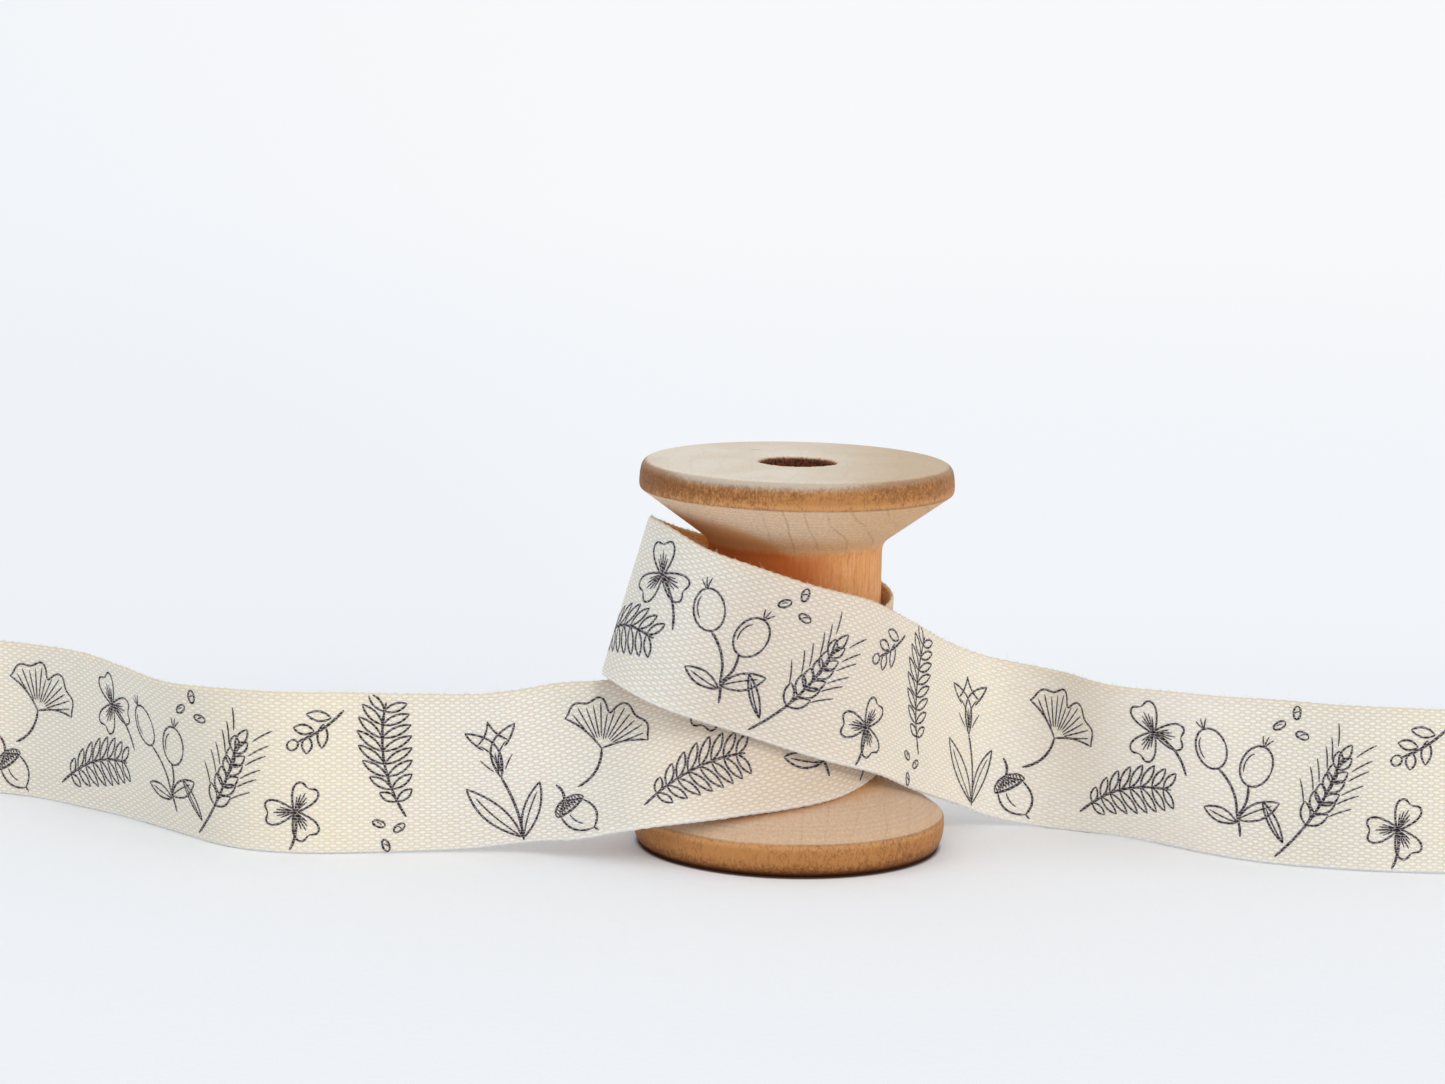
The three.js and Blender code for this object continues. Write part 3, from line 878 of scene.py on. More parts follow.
tree, given = new_group("plain_weave", {"Unevenness": 0.16})
threads = given["Vector"]
drift = put(tree, "TexNoise", None, Vector=stretched(tree, threads, LONGER_BUMPS, 1, 1),
            Scale=0.55, Detail=3.0).outputs["Color"]
drift = vector_calc(tree, "SUBTRACT", drift, i1=(0.5, 0.5, 0.5))
drift = vector_calc(tree, "SCALE", drift, Scale=given["Unevenness"])
moved = vector_calc(tree, "ADD", threads, i1=drift)
parts = put(tree, "SeparateXYZ", None, Vector=moved).outputs
row = calc(tree, "FLOOR", parts["Y"])
shifted = calc(tree, "MULTIPLY_ADD", calc(tree, "FLOORED_MODULO", row, 2.0), 0.5, parts["X"])
along_cell, across_cell = from_middle(tree, shifted), from_middle(tree, parts["Y"])
cell_place = put(tree, "CombineXYZ", None, X=calc(tree, "FLOOR", shifted), Y=row, Z=0.0)
each = put(tree, "TexWhiteNoise", {"noise_dimensions": "3D"},
           Vector=cell_place.outputs[0]).outputs["Value"]
warp = times(tree, oval(tree, along_cell, across_cell, 0.34, 0.54),
             calc(tree, "MULTIPLY_ADD", each, 0.4, 0.7))
beside = calc(tree, "SUBTRACT", calc(tree, "ABSOLUTE", along_cell), 0.5)
weft = times(tree, oval(tree, beside, across_cell, 0.22, 0.5), 0.42)
surface_height = calc(tree, "SMOOTH_MAX", warp, weft, 0.08)
hairs = noise(tree, stretched(tree, moved, 5.0, 11.0, 1.0), 1.0, 3.0, 0.6)
surface_height = calc(tree, "MULTIPLY_ADD", hairs, 0.16, surface_height)
weave_group = close_group(tree, Height=surface_height, Tops=ramp(tree, surface_height, 0.1, 1.0),
                          Thread=each)

# %% Material: unbleached cotton
COOL_COTTON = tone(250, 246, 241)
WARM_COTTON = tone(251, 244, 230)
GAP_SHADE_COTTON = tone(206, 193, 175)
WARM_GAP_SHADE_COTTON = tone(226, 206, 174)
WARM_SHADE_COTTON = tone(222, 192, 166)
GREY_SHADE_COTTON = tone(236, 240, 241)
INNER_FOLD_LIGHT_TONE = tone(246, 204, 152)
UPPER_EDGE_TONE = tone(212, 192, 160)
LOWER_EDGE_TONE = tone(243, 241, 236)


def cotton_colour(tree):
    """Cotton tone from weave, painted light and shade, and mottling; returns it, the weave and its
    map.
    """
    thread_map = put(tree, "UVMap", {"uv_map": "ThreadMap"}).outputs[0]
    even_map = stretched(tree, thread_map, LONGER_BUMPS, 1, 1)
    weave = put(tree, "Group", {"node_tree": weave_group}, Vector=thread_map,
                Unevenness=0.26).outputs
    # The warmth is painted light that comes through the cloth where it stands free.
    warmth = swayed(tree, stored(tree, "warmth"), mottling(tree, even_map, 0.09, 0.7, 0.4), 0.35)
    warmth = put(tree, "Clamp", None, Value=warmth).outputs[0]
    light = blend(tree, warmth, COOL_COTTON, WARM_COTTON)
    # The gap tones are painted shade between the threads.
    dark = blend(tree, warmth, GAP_SHADE_COTTON, WARM_GAP_SHADE_COTTON)
    gap_shade = calc(tree, "SUBTRACT", 1.0, weave["Tops"])
    # Painted light makes the gaps paler where the weave is lit near the right end.
    depth = calc(tree, "MULTIPLY_ADD", stored(tree, "gap_light"), -0.2, 0.68)
    colour = coats(tree, light, (gap_shade, depth, dark),
                   (ramp(tree, weave["Thread"], 0.0, 1.0, 0.0, 0.16), dark))
    # A warm painted shade where light off the wood falls on the cloth.
    colour = blend(tree, stored(tree, "tan"), colour, WARM_SHADE_COTTON, "MULTIPLY")
    # A grey painted shade on some stretches.
    colour = blend(tree, stored(tree, "grey_shade"), colour, GREY_SHADE_COTTON, "MULTIPLY")
    # Painted light on the inner face of the fold.
    colour = coats(tree, colour, (stored(tree, "inner_fold_light"), INNER_FOLD_LIGHT_TONE),
                   (stored(tree, "upper_edge"), UPPER_EDGE_TONE),
                   (stored(tree, "lower_edge"), LOWER_EDGE_TONE))
    return colour, weave, even_map


cotton, tree = new_material("unbleached_cotton")
colour, weave, _ = cotton_colour(tree)
finish_material(tree, colour, (weave["Height"], 0.65, 0.09 * MM), Roughness=0.93,
                Specular_IOR_Level=0.12, Sheen_Weight=0.12, Sheen_Roughness=0.6,
                Subsurface_Weight=0.5, Subsurface_Radius=(1.0, 0.78, 0.5),
                Subsurface_Scale=0.8 * MM)

# %% [markdown]
# ## The ribbon itself
# The cloth is a thin closed sheet: a front and a back layer joined at the two selvedges
# and the two cut ends. Two maps are laid on it. `ThreadMap` counts threads, so the weave
# follows the ribbon around every bend. `OFBake` folds the long strip into rows, so that
# a square texture holds the threads finely when the model is exported.

# %% Ribbon mesh
ALONG_STEPS = 1200
ACROSS_STEPS = 26
SELVEDGE = 0.35 * MM

s_stops = np.linspace(0, RIBBON_LENGTH, ALONG_STEPS + 1)
edge_w = HALF_WIDTH - SELVEDGE * np.array([0, 0.35, 0.7])
inner = np.linspace(-HALF_WIDTH + SELVEDGE, HALF_WIDTH - SELVEDGE, ACROSS_STEPS - 5)
w_stops = np.concatenate([-edge_w, inner, edge_w[::-1]])
from_edge = np.clip((HALF_WIDTH - np.abs(w_stops)) / SELVEDGE, 0, 1)
half_thick = RIBBON_THICKNESS / 2 * np.sqrt(1 - (1 - from_edge) ** 2)
half_thick *= 1 + 0.12 * np.exp(-((from_edge - 0.8) / 0.3) ** 2)
section_w = np.concatenate([w_stops, w_stops[-2:0:-1]])
section_t = np.concatenate([half_thick, -half_thick[-2:0:-1]])
section_count = len(section_w)
ribbon_points = ribbon_surface(s_stops[:, None], section_w[None, :], section_t[None, :])

faces, face_cells = [], []
for i in range(ALONG_STEPS):
    here, ahead = i * section_count, (i + 1) * section_count
    for j in range(section_count):
        k = (j + 1) % section_count
        faces.append((here + j, ahead + j, ahead + k, here + k))
        face_cells.append((i, j))
half = len(w_stops) - 1
# The faces of the two cut ends carry these instead of a step.
START_END, LAST_END = -1, -2
for start, end_name in ((0, START_END), (ALONG_STEPS * section_count, LAST_END)):
    for j in range(half):
        back, back_next = (section_count - j) % section_count, section_count - j - 1
        corner = list(dict.fromkeys(start + v for v in (j, j + 1, back_next, back)))
        faces.append(tuple(corner if end_name == START_END else corner[::-1]))
        face_cells.append((end_name, j))
ribbon = new_piece("woven_ribbon", ribbon_points, faces, cotton)

# %% Thread map and folded map
BAKE_ROWS = 3
ROW_GAP, MAP_MARGIN = 1.0 * MM, 0.5 * MM
row_pitch = RIBBON_WIDTH + ROW_GAP
row_length = RIBBON_LENGTH / BAKE_ROWS
sheet_side = max(2 * BAKE_ROWS * row_pitch + ROW_GAP, row_length + 2 * ROW_GAP)
steps_in_row = ALONG_STEPS // BAKE_ROWS

ring_number, column = np.divmod(corner_points(ribbon), section_count)
s, w = s_stops[ring_number], section_w[column]
lay_map(ribbon, "ThreadMap", s / BUMP_ALONG, w / BUMP_ACROSS)
cell_i, cell_j = np.repeat(np.array(face_cells), [len(face) for face in faces], axis=0).T
bake_row = np.maximum(cell_i, 0) // steps_in_row
u = np.where(cell_i < 0, row_length + MAP_MARGIN + section_t[column] * 0.4,
             s - s_stops[bake_row * steps_in_row])
level = np.where(cell_i < 0, cell_i == LAST_END, 2 * bake_row + (cell_j >= half))
v = w + HALF_WIDTH + level * row_pitch
lay_map(ribbon, "OFBake", (u + MAP_MARGIN) / sheet_side, (v + MAP_MARGIN) / sheet_side)
print("bake map spans", round(sheet_side / MM, 1), "mm")

# %% [markdown]
# ## Where the cotton looks warm
# On the wrap the cloth lies against wood and looks grey-white. Where it stands free and
# leans back, light comes through it and it turns cream; this warmth is painted light.
# Some stretches carry a warm painted shade where light off the wood falls on them, some a
# grey painted shade; near the right end the weave's gaps are painted paler as painted
# light, and the inner face of the fold is painted golden as light. The shares are set at
# a few distances along the ribbon.

# %% Warmth along the ribbon
WARM_LIGHT_SHARES = [
    (0.0, 0.4), (0.05, 0.25), (0.1, 0.3), (0.14, 0.6), (0.18, 0.7), (0.2, 0.4), (0.235, 0.0),
    (0.265, 0.0), (0.3, 0.4), (0.35, 0.45), (0.42, 0.6), (0.52, 0.4), (0.58, 0.1),
    (0.64, 0.25), (0.68, 0.65), (0.73, 0.7), (0.76, 0.1), (0.84, 0.0), (0.9, 0.3), (1.0, 0.45),
]
WARM_SHADE_SHARES = [
    (0.0, 0.0), (0.28, 0.0), (0.3, 0.1), (0.32, 0.35), (0.35, 0.5), (0.4, 0.7), (0.5, 0.3),
    (0.56, 0.0), (0.585, 0.0), (0.605, 0.25), (0.66, 0.25), (0.69, 0.12), (0.74, 0.0), (1.0, 0.0),
]
GREY_SHADE_SHARES = [
    (0.0, 0.1), (0.03, 0.8), (0.13, 1.0), (0.17, 0.0), (0.25, 0.0), (0.28, 0.8), (0.3, 0.0),
    (0.52, 0.0), (0.56, 0.8), (0.6, 0.3), (0.64, 0.0), (0.84, 0.0), (0.88, 0.7), (0.92, 0.3),
    (1.0, 0.0),
]
GAP_LIGHT_SHARES = [(0.72, 0.0), (0.76, 1.0), (0.83, 1.0), (0.86, 0.0)]
FOLD_LIGHT_SHARES = [(0.46, 0.0), (0.5, 0.8), (0.56, 0.8), (0.6, 0.0)]

for name, table in (("warmth", WARM_LIGHT_SHARES), ("tan", WARM_SHADE_SHARES), ("grey_shade", GREY_SHADE_SHARES),
                    ("gap_light", GAP_LIGHT_SHARES)):
    store(ribbon, name, np.repeat(along_ribbon(table, s_stops), section_count))
# Painted light on the inner face of the fold, where light comes through and off the wood.
store(ribbon, "inner_fold_light", np.outer(along_ribbon(FOLD_LIGHT_SHARES, s_stops), section_t < 0))
for name, inwards, size, reach in (("upper_edge", HALF_WIDTH - section_w, 0.4, 0.3 * MM),
                                   ("lower_edge", HALF_WIDTH + section_w, 0.7, 0.26 * MM)):
    store(ribbon, name, np.tile(size * np.exp(-(inwards / reach) ** 2), ALONG_STEPS + 1))
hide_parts("cotton_ribbon")
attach(ribbon, "ribbon")
print("warmth stored")

# %% [markdown]
# ## A generic line print
# The ribbon carries a thin dark line print of garden plants. The motifs here are plain
# ones drawn by formula: a wheat ear, a clover leaf, a fan leaf, a pair of rosehips, a
# tulip, a fern, loose seeds, an acorn and a sprout. Each motif is a list of strokes in
# millimetres around its own middle, with Y towards the upper selvedge.

# %% Stroke helpers
FULL, HALF_LINE, HAIR = 0.255, 0.205, 0.15


def bow(x0, y0, x1, y1, bend, count=14):
    """A shallow arc between two places; bend is its height as a share of length."""
    start, end = np.array([x0, y0]), np.array([x1, y1])
    normal = np.array([-(y1 - y0), x1 - x0])
    t = np.linspace(0, 1, count)[:, None]
    return start + (end - start) * t + normal * bend * 4 * t * (1 - t)


def bows(line, *rows):
    """Several bows with one line width."""
    return [(bow(*row), line) for row in rows]


def bow_pairs(line, *rows):
    """Several bows, each followed by its mirror image."""
    return bows(line, *(row for x0, y0, x1, y1, bend in rows
                        for row in ((x0, y0, x1, y1, bend), (-x0, y0, -x1, y1, -bend))))


def ring(cx, cy, rx, ry, turn_degrees=0.0, count=20, start=0.0, sweep=360.0):
    """An oval or a part of one."""
    t = np.radians(np.linspace(start, start + sweep, count))
    x, y = rx * np.cos(t), ry * np.sin(t)
    a = math.radians(turn_degrees)
    return np.column_stack([cx + x * math.cos(a) - y * math.sin(a),
                            cy + x * math.sin(a) + y * math.cos(a)])


def away(x, y, angle, reach):
    """The place at a distance from another one; the angle is in radians."""
    return (x + reach * math.cos(angle), y + reach * math.sin(angle))


def leaf(x, y, angle, length, width):
    """A pointed leaf from its foot, as two bows."""
    tip = away(x, y, math.radians(angle), length)
    bend = width / length / 2
    return bows(HALF_LINE, (x, y, *tip, bend), (x, y, *tip, -bend))


def veined_leaf(x, y, angle, length, width):
    """A pointed leaf with a middle vein."""
    near = away(x, y, math.radians(angle), 0.82 * length)
    return leaf(x, y, angle, length, width) + bows(HAIR, (x, y, *near, 0.03))


print("stroke helpers ready")

# %% Motifs
def wheat_ear():
    stem = bow(-0.6, -4.4, 0.5, 2.6, -0.07, 24)
    strokes = [(stem, FULL)]
    for k, share in enumerate(np.linspace(0.42, 0.96, 6)):
        x, y = stem[int(share * 23)]
        for side in (-1, 1):
            angle = 84 - side * (34 - 2 * k)
            strokes += leaf(x, y, angle, 1.5 - 0.07 * k, 0.62)
            a = math.radians(angle - side * 4)
            tip = (x + 3.0 * math.cos(a), y + 2.9 * math.sin(a))
            strokes += bows(HAIR, (*away(x, y, a, 1.45), *tip, 0.03 * side, 6))
    return strokes + leaf(*stem[23], 80, 1.5, 0.6) + veined_leaf(-0.5, -3.4, 142, 2.9, 0.55)


def clover_leaf():
    strokes = bows(FULL, (0.1, -0.2, 0.9, -3.6, 0.12))
    t = np.linspace(0, np.pi, 20)
    half_leaf = 1.3 * np.sin(t) * (0.3 + 0.35 * (1 - np.cos(t)))
    notch = 0.4 * np.exp(-(half_leaf / 0.45) ** 2) * eased(t, 1.9, 2.6)
    u = 1.2 * (1 - np.cos(t)) - notch
    for a in np.radians((90, 212, 328)):
        for v in (-half_leaf, half_leaf):
            leaflet = np.column_stack([u * math.cos(a) - v * math.sin(a),
                                       u * math.sin(a) + v * math.cos(a)])
            strokes.append((leaflet, HALF_LINE))
        for spread in (-0.36, -0.18, 0.0, 0.18, 0.36):
            tip = away(0, 0, a + spread, 1.6 - abs(spread) * 1.3)
            strokes += bows(HAIR, (0, 0, *tip, 0.0, 5))
    return strokes


def fan_leaf():
    foot = np.array([0, -1.2])
    t = np.linspace(22, 158, 40)
    reach = 3.4 + 0.16 * np.sin(np.radians(t * 11)) - 0.75 * np.exp(-((t - 92) / 7) ** 2)
    edge = foot + np.column_stack([reach * np.cos(np.radians(t)), reach * np.sin(np.radians(t))])
    strokes = bows(FULL, (*foot, -0.8, -4.2, 0.14)) + [(edge, HALF_LINE)]
    strokes += bows(HALF_LINE, (*foot, *edge[0], 0.08), (*foot, *edge[-1], -0.08))
    for k in range(3, 38, 3):
        start, end = (foot + (edge[k] - foot) * share for share in (0.24, 0.9))
        strokes += bows(HAIR, (*start, *end, 0.0, 6))
    return strokes


def rosehips():
    strokes = []
    for cx, cy, lean in ((-1.5, 1.3, 18), (1.4, 0.2, -24)):
        strokes.append((ring(cx, cy, 1.0, 1.35, lean), HALF_LINE))
        strokes.append((ring(cx - 0.25, cy, 0.5, 0.85, lean, 9, 110, 110), HAIR))
        a = math.radians(lean + 90)
        foot = away(cx, cy, a, 1.3)
        for spread in (-0.5, 0.0, 0.5):
            strokes += bows(HAIR, (*foot, *away(*foot, a + spread, 0.75), 0.06, 5))
        strokes += bows(FULL, (*away(cx, cy, a, -1.32), 0.1, -3.0, 0.12))
    strokes += bows(FULL, (0.1, -3.0, 0.3, -4.3, 0.05))
    return strokes + veined_leaf(0.15, -3.2, 22, 2.9, 1.05) + veined_leaf(0.1, -3.4, 158, 2.4, 0.9)


def tulip():
    strokes = bows(FULL, (0, 0.0, 0.3, -4.6, 0.05))
    strokes += bow_pairs(HALF_LINE, (0, 0.0, -1.7, 3.3, -0.3), (-1.7, 3.3, -0.7, 2.0, -0.06),
                         (-1.0, 2.4, 0, 3.8, -0.1))
    strokes += bow_pairs(HAIR, (-0.1, 0.3, -0.85, 2.3, -0.16))
    for x in (-1.05, -0.35, 0.0, 0.35, 1.05):
        strokes += bows(HAIR, (x * 0.35, 0.5, x, 1.7 - abs(x) * 0.3, 0.03, 6))
    return strokes + veined_leaf(0.25, -4.4, 122, 4.8, 1.2) + veined_leaf(0.3, -4.5, 62, 4.2, 1.0)


def fern_frond():
    stem = bow(-3.4, -2.4, 3.3, 2.2, 0.1, 28)
    strokes = [(stem, FULL)]
    for k in range(4, 27, 3):
        size = 1.9 * math.sin(math.pi * (0.12 + 0.86 * (1 - k / 28))) ** 0.8 + 0.35
        for side in (-1, 1):
            strokes += leaf(*stem[k], 36 + side * 56 - k, size, 0.56)
    return strokes


def seeds():
    strokes = []
    for x, y, lean in ((-0.9, 0.2, 20), (0.5, 0.9, 75), (0.6, -0.8, -30)):
        strokes.append((ring(x, y, 0.5, 0.26, lean, 14), HALF_LINE))
        strokes += bows(HAIR, (x - 0.2, y, x + 0.2, y + 0.05, 0.1, 4))
    return strokes


def acorn():
    strokes = bows(FULL, (0, 1.0, 0.5, 2.4, -0.15))
    strokes.append((ring(0, 0.3, 1.25, 0.8, 0, 16, 0, 180), HALF_LINE))
    strokes += bows(FULL, (-1.25, 0.3, 1.25, 0.3, -0.08))
    for x in np.arange(-4, 5) * 0.26:
        top = 0.3 + 0.76 * math.sqrt(1 - (x / 1.3) ** 2)
        strokes += bows(HAIR, (x, 0.26, x * 0.7 + 0.3, top, 0.05, 5),
                        (x, 0.26, x * 0.7 - 0.3, top, -0.05, 5))
    strokes += bow_pairs(HALF_LINE, (-1.05, 0.15, 0, -2.1, -0.22))
    strokes += bows(HAIR, (-0.45, -0.1, -0.3, -1.3, -0.1, 6))
    return strokes + bows(HALF_LINE, (0, -2.1, 0.05, -2.5, 0.0, 3))


def sprout():
    strokes = bows(FULL, (0, -2.0, 0.2, 1.4, 0.06))
    for y, side, size in ((-1.1, 1, 1.5), (-0.5, -1, 1.5), (0.2, 1, 1.25), (0.7, -1, 1.1)):
        strokes += leaf(0.1, y, 90 - side * 48, size, 0.6)
    return strokes + [(ring(0.22, 1.75, 0.3, 0.36), HALF_LINE)]


MOTIFS = {
    "wheat": wheat_ear(), "clover": clover_leaf(), "fan": fan_leaf(), "hips": rosehips(),
    "tulip": tulip(), "fern": fern_frond(), "seeds": seeds(), "sprout": sprout(),
    "acorn": acorn(),
}
print("motifs", {name: len(strokes) for name, strokes in MOTIFS.items()})

# %% [markdown]
# ## Laying the print on the cloth
# One repeat of the pattern is a list of motifs with their place, turn and size. Each
# stroke is cut at the selvedges, divided into short steps and laid on the ribbon as a
# very thin closed strip. Being real geometry, the lines stay crisp at any distance.

# %% Print layout
# Motif, millimetres along and across, turn in degrees, size.
LAYOUT = [
    ("tulip", 5.2, -0.6, 7, 1.45), ("acorn", 11.4, -4.5, 38, 1.25),
    ("fan", 15.2, 2.6, -22, 1.35), ("fern", 22.6, -3.6, -16, 1.28),
    ("clover", 25.6, 3.4, 26, 1.35), ("hips", 33.6, 0.8, 5, 1.45),
    ("seeds", 38.6, 5.2, 15, 1.25), ("wheat", 41.0, -1.2, -22, 1.45),
    ("sprout", 50.6, 4.0, 128, 1.5), ("clover", 48.6, -3.6, -28, 1.25),
    ("fern", 57.6, 1.4, 64, 1.35), ("seeds", 56.8, -5.6, -40, 1.2),
]
REPEAT = 62.0
PRINT_START = -7.0
EDGE_MARGIN, END_MARGIN = 0.12, 0.3
STROKE_STEP = 0.22
SHORTEST_RUN = 3


def resampled(path, step):
    """Path with even steps."""
    along_path = lengths_along(path)
    count = max(2, int(math.ceil(along_path[-1] / step)) + 1)
    stops = np.linspace(0, along_path[-1], count)
    return np.column_stack([np.interp(stops, along_path, path[:, k]) for k in (0, 1)])


def kept_runs(path, inside):
    """The runs of a path that lie on the cloth."""
    cuts = np.flatnonzero(np.diff(inside.astype(int))) + 1
    runs = zip(np.split(path, cuts), np.split(inside, cuts))
    return [run for run, good in runs if good[0] and len(run) >= SHORTEST_RUN]


strokes_on_cloth = []
half_mm = HALF_WIDTH / MM - EDGE_MARGIN
length_mm = RIBBON_LENGTH / MM
for copy in range(int(length_mm / REPEAT) + 2):
    for name, s0, w0, turn_degrees, size in LAYOUT:
        a = math.radians(turn_degrees + rng.uniform(-1.5, 1.5))
        spin = np.array([[math.cos(a), math.sin(a)], [-math.sin(a), math.cos(a)]])
        for path, line in MOTIFS[name]:
            path = path @ spin * size + np.array([s0 + PRINT_START + copy * REPEAT, w0])
            path = resampled(path, STROKE_STEP)
            along, across = path.T
            fits = (np.abs(across) < half_mm) & (along > END_MARGIN)
            fits = fits & (along < length_mm - END_MARGIN)
            strokes_on_cloth += [(run, line) for run in kept_runs(path, fits)]
print("strokes", len(strokes_on_cloth))

# %% Print mesh
INK_BELOW, INK_ABOVE = -0.02 * MM, 0.022 * MM
TAPER_LENGTH = 0.5
ink_faces = []
rows = []
count = 0
for path, line in strokes_on_cloth:
    way = np.gradient(path, axis=0)
    way /= np.hypot(way[:, 0], way[:, 1])[:, None]
    normal = np.column_stack([-way[:, 1], way[:, 0]])
    steps = len(path)
    share = np.linspace(0, 1, steps)
    from_end = np.minimum(share, 1 - share) * steps * STROKE_STEP
    taper = 0.55 + 0.45 * np.clip(from_end / TAPER_LENGTH, 0, 1)
    uneven = 1 + 0.12 * np.sin(np.arange(steps) * 1.9 + count)
    reach = normal * (line / 2 * taper * uneven)[:, None]
    for side, level in ((path + reach, INK_BELOW), (path - reach, INK_BELOW),
                        (path - reach, INK_ABOVE), (path + reach, INK_ABOVE)):
        out = np.full(steps, RIBBON_THICKNESS / 2 + level)
        rows.append(np.column_stack([side * MM, out]))
    starts = [count + j * steps for j in range(4)]
    for i in range(steps - 1):
        for j in range(4):
            here, beside = starts[j] + i, starts[(j + 1) % 4] + i
            ink_faces.append((here, beside, beside + 1, here + 1))
    ink_faces.append(tuple(starts[::-1]))
    ink_faces.append(tuple(v + steps - 1 for v in starts))
    count += 4 * steps
all_s, all_w, all_out = np.concatenate(rows).T
ink_points = ribbon_surface(all_s, all_w, all_out)
print("ink points", len(ink_points), "faces", len(ink_faces))

# %% Material: print ink
INK_TONE = tone(40, 34, 44)
INK_PALE_TONE = tone(84, 76, 86)
ink, tree = new_material("print_ink")
cloth, weave, even_map = cotton_colour(tree)
blots = noise(tree, even_map, 0.9, 3.0, 0.6)
dark = blend(tree, ramp(tree, blots, 0.35, 0.7), INK_TONE, INK_PALE_TONE)
taken = ramp(tree, swayed(tree, weave["Tops"], blots, 0.5), -0.05, 0.35, 0.45, 1.0)
finish_material(tree, blend(tree, taken, cloth, dark), (weave["Height"], 0.55, 0.06 * MM),
                Roughness=0.9, Specular_IOR_Level=0.1)

line_print = new_piece("line_print", ink_points, ink_faces, ink)
at_corner = corner_points(line_print)
lay_map(line_print, "ThreadMap", all_s[at_corner] / BUMP_ALONG, all_w[at_corner] / BUMP_ACROSS)
# The print gets the same painted light.
store(line_print, "warmth", along_ribbon(WARM_LIGHT_SHARES, all_s))
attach(line_print, "ribbon")
print("print laid on the cloth")

# %% [markdown]
# ## Loose fibres
# Cotton edges are never clean. Short hairs stand off the selvedges, and the two cut ends
# show the tips of their threads. Each hair is a thin three-sided tube on a small random
# curve, drawn from the seeded generator. Near the table a hair turns upwards.

# %% Fibre mesh
FIBRE_COUNT, FRAY_COUNT = 2400, 70
FIBRE_RADIUS, FRAY_RADIUS = 0.013 * MM, 0.0286 * MM
# Lengths in millimetres; most hairs along the edges are short ones.
SHORT_HAIR, LONG_HAIR, FRAY = (0.08, 0.34), (0.4, 0.9), (0.1, 0.55)
SHORT_SHARE, UPPER_SHARE = 0.96, 0.62
HAIR_RINGS = 5
NEAR_TABLE, FRAY_NEAR_TABLE = 0.35 * MM, 0.5 * MM
HAIR_ROOT, FRAY_ROOT, END_ROOM = 0.03 * MM, 0.05 * MM, 0.5 * MM
fibre_points, fibre_faces = [], []


def between(low, high):
    """A drawn length, from limits in millimetres."""
    return rng.uniform(low, high) * MM


def add_hair(start, lean, length, radius, upwards_below):
    """One bent hair with three sides, pointed at its tip."""
    if start[2] < upwards_below:
        lean[2] = abs(lean[2])
    lean = lean / np.linalg.norm(lean)
    side = np.cross(lean, [rng.uniform(-1, 1) for _ in range(3)])
    side /= np.linalg.norm(side)
    other = np.cross(lean, side)
    curl = rng.uniform(-0.9, 0.9) * length
    first = len(fibre_points)
    for t in np.linspace(0, 1, HAIR_RINGS):
        middle = start + lean * length * t + side * curl * t * t
        size = radius * (1 - 0.75 * t)
        for a in (0, 2 * math.pi / 3, 4 * math.pi / 3):
            fibre_points.append(middle + size * (math.cos(a) * side + math.sin(a) * other))
    tip = first + (HAIR_RINGS - 1) * 3
    for low in range(first, tip, 3):
        for j in range(3):
            a, b = low + j, low + (j + 1) % 3
            fibre_faces.append((a, b, b + 3, a + 3))
    fibre_faces.append((first + 2, first + 1, first))
    fibre_faces.append((tip, tip + 1, tip + 2))


hair_s = [rng.uniform(END_ROOM, RIBBON_LENGTH - END_ROOM) for _ in range(FIBRE_COUNT)]
hair_edge = [1 if rng.random() < UPPER_SHARE else -1 for _ in range(FIBRE_COUNT)]
for s, edge, middle, across, facing in zip(hair_s, hair_edge, *ribbon_frames(hair_s)):
    off = float(ripple(s, edge * HALF_WIDTH)) + between(-0.08, 0.08)
    start = middle + across * float(reach_across(s, edge * (HALF_WIDTH - HAIR_ROOT)))
    lean = across * edge + facing * rng.uniform(-0.8, 0.8)
    lean = lean + np.cross(across, facing) * rng.uniform(-1.2, 1.2)
    length = between(*(SHORT_HAIR if rng.random() < SHORT_SHARE else LONG_HAIR))
    add_hair(start + facing * off, lean, length, FIBRE_RADIUS, NEAR_TABLE)
for s, direction in ((0.0, -1), (RIBBON_LENGTH, 1)):
    middle, across, facing = (v[0] for v in ribbon_frames([s]))
    along_hair = np.cross(across, facing) * direction
    for _ in range(FRAY_COUNT):
        w = rng.uniform(-0.97, 0.97) * HALF_WIDTH
        off = float(ripple(s, w)) + between(-0.1, 0.1)
        start = middle + across * w + facing * off - along_hair * FRAY_ROOT
        lean = along_hair + across * rng.uniform(-0.25, 0.25)
        lean = lean + facing * rng.uniform(-0.2, 0.2)
        add_hair(start, lean, between(*FRAY), FRAY_RADIUS, FRAY_NEAR_TABLE)

fibre, tree = new_material("cotton_fibre")
patches = mottling(tree, put(tree, "TexCoord").outputs["Object"], 400.0, 3000.0, 0.5)
finish_material(tree, blend(tree, patches, tone(236, 230, 216), tone(216, 204, 182)),
                Roughness=0.85, Specular_IOR_Level=0.15)
fuzz = new_piece("selvedge_fibres", fibre_points, fibre_faces, fibre)
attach(fuzz, "ribbon")
print("hairs", FIBRE_COUNT + 2 * FRAY_COUNT)

# %% [markdown]
# ## Floor and light
# The photograph has no visible horizon: a white sheet runs from under the spool to far
# behind it. One large plane does that. Its colour is a little below white close to the
# spool, where its shadow has to read, and far away it glows for the camera in a pale
# tone that is painted lighter with distance and darker on the left, as painted light. A
# dark ring of painted contact shadow lies where the base touches it, and a warm painted
# shade lies on the left of the base. Two big soft lamps and an even sky light the object
# without hard shadows.

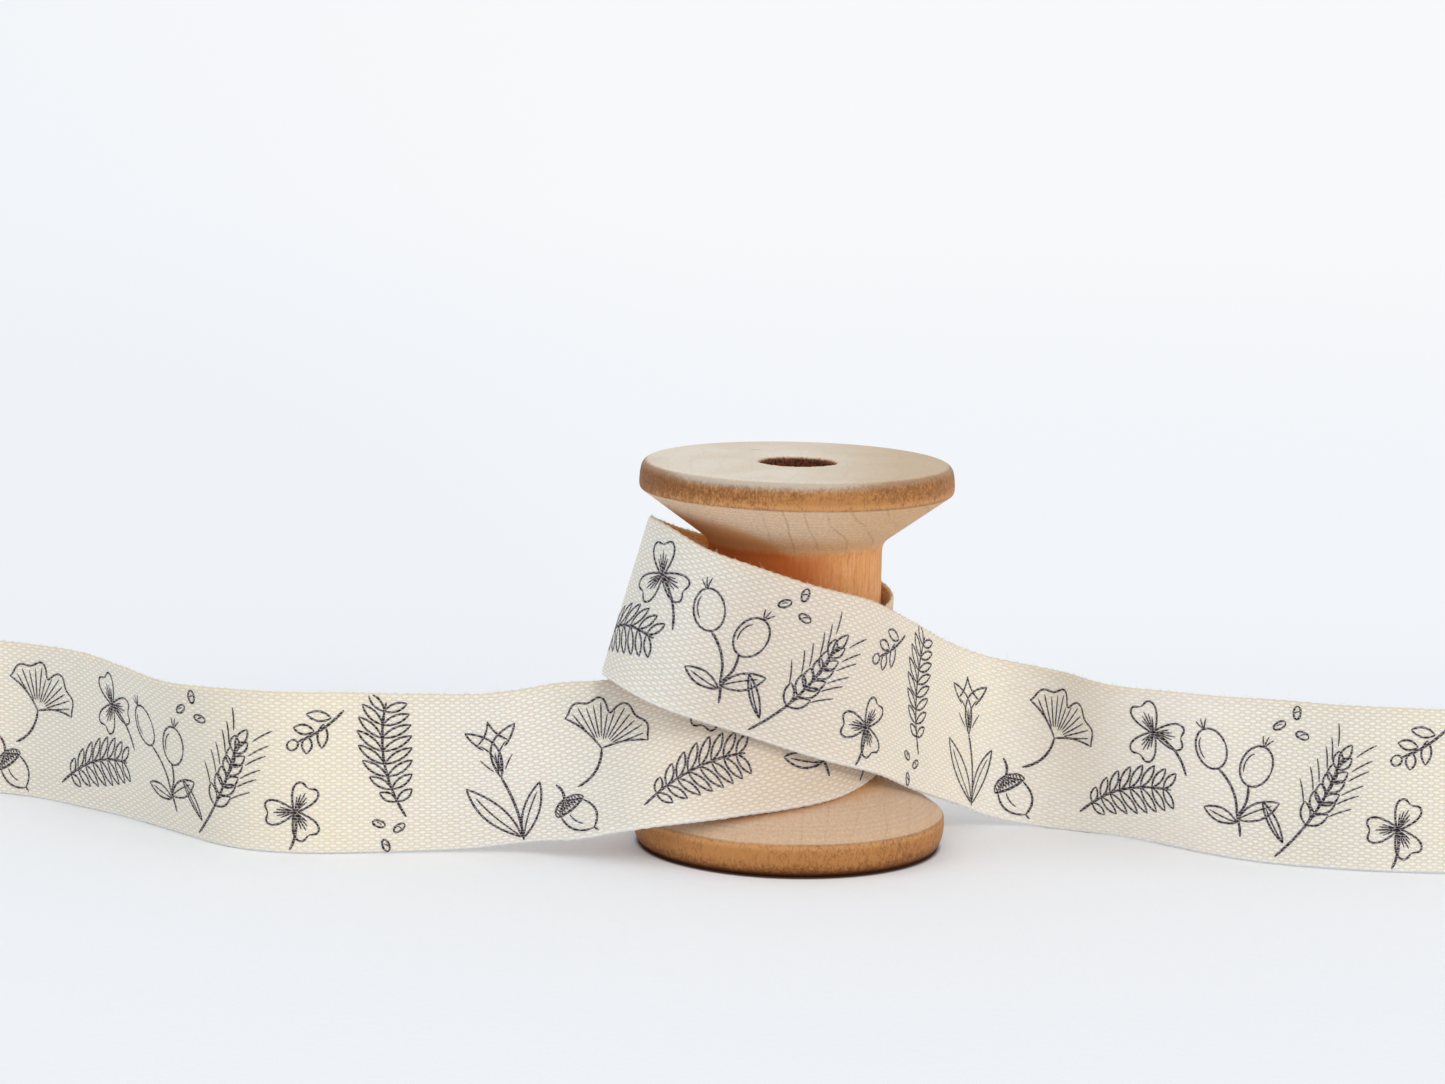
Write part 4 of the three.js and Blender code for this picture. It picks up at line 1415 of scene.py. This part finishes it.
# %% Floor
FLOOR_TONE = tone(245, 246, 248)
FLOOR_PATCH_TONE = tone(238, 239, 242)
NEAR_SHEET_TONE = tone(242, 245, 249)
FAR_TONE = tone(248, 249, 251)
LEFT_SHEET_TONE = tone(236, 241, 247)
CONTACT_SHADOW_TONE = tone(84, 44, 22)
CONTACT_SHADOW_MIDDLE = (0.0, -0.0002, 0.0)
WARM_SIDE_SHADE_TONE = tone(236, 230, 226)
WARM_SIDE_SHADE_MIDDLE = (-0.011, -0.0055, 0.0)
FLOOR_SIDE = 16.0
floor_material, tree = new_material("pale_floor")
space = put(tree, "TexCoord").outputs["Object"]
from_spool = vector_calc(tree, "LENGTH", space)


def painted_oval_shade(tree, squash, middle, start, end, strength):
    """Share of a soft oval of painted shade on the floor."""
    distance = vector_calc(tree, "DISTANCE", stretched(tree, space, squash, 1, 1), i1=middle)
    return ramp(tree, distance, start, end, strength, 0.0)


paper_and_shade = coats(
    tree, FLOOR_TONE,
    (mottling(tree, space, 30.0, 700.0, 0.5), 0.35, FLOOR_PATCH_TONE),
    # A warm painted shade left of the base, standing for light off the wood.
    (painted_oval_shade(tree, 0.55, WARM_SIDE_SHADE_MIDDLE, 0.002, 0.0085, 0.4), WARM_SIDE_SHADE_TONE),
    # Painted contact shadow under the base.
    (painted_oval_shade(tree, 1.015, CONTACT_SHADOW_MIDDLE, 0.014, 0.0146, 0.97), CONTACT_SHADOW_TONE),
)
grit = noise(tree, space, 1200.0, 3.0, 0.6)
shader = finish_material(tree, paper_and_shade, (grit, 0.25, 0.2 * MM), Roughness=0.9,
                         Specular_IOR_Level=0.1)
parts = put(tree, "SeparateXYZ", None, Vector=space).outputs
# For the camera the far floor glows as a backdrop, painted lighter with distance and darker on the
# left, as painted light.
sheet = blend(tree, ramp(tree, from_spool, 0.12, 0.9), NEAR_SHEET_TONE, FAR_TONE)
sideways = calc(tree, "DIVIDE", parts["X"], from_spool)
sheet = blend(tree, ramp(tree, sideways, -0.35, 0.0, 0.55, 0.0), sheet, LEFT_SHEET_TONE)
glow = put(tree, "Emission", None, Color=sheet, Strength=1.0)
seen = put(tree, "LightPath").outputs["Is Camera Ray"]
far = calc(tree, "MAXIMUM", ramp(tree, from_spool, 0.1, 0.3), ramp(tree, parts["Y"], 0.03, 0.14))
mixed = put(tree, "MixShader", None, i0=times(tree, far, seen), i1=shader.outputs[0],
            i2=glow.outputs[0])
tree.links.new(mixed.outputs[0], tree.nodes["Material Output"].inputs["Surface"])
half_side = FLOOR_SIDE / 2
floor = new_piece("floor", [(x * half_side, y * half_side, 0)
                            for x, y in ((-1, -1), (1, -1), (1, 1), (-1, 1))],
                  [(0, 1, 2, 3)], floor_material, False)
print("floor", FLOOR_SIDE, "m square")

# %% Lamps and sky
def soft_lamp(name, place, size, power, colour):
    """Square area lamp aimed at the spool's middle."""
    data = bpy.data.lights.new(name, "AREA")
    data.shape = "SQUARE"
    data.size = size
    data.energy = power
    data.color = colour
    lamp = bpy.data.objects.new(name, data)
    bpy.context.scene.collection.objects.link(lamp)
    lamp.location = place
    aim = Vector((0, 0, SPOOL_HEIGHT / 2)) - Vector(place)
    lamp.rotation_euler = aim.to_track_quat("-Z", "Y").to_euler()


soft_lamp("key_lamp", (1.2, -1.4, 1.1), 0.7, 13.0, (1.0, 0.965, 0.92))
soft_lamp("left_lamp", (-1.7, -0.7, 0.9), 1.2, 7.5, (0.95, 0.975, 1.0))
world = bpy.data.worlds.new("even_sky")
bpy.context.scene.world = world
world.use_nodes = True
sky = world.node_tree.nodes["Background"]
sky.inputs["Color"].default_value = (0.94, 0.97, 1.0, 1.0)
sky.inputs["Strength"].default_value = 0.79
print("lamps placed")

# %% Finish
bpy.context.view_layer.update()
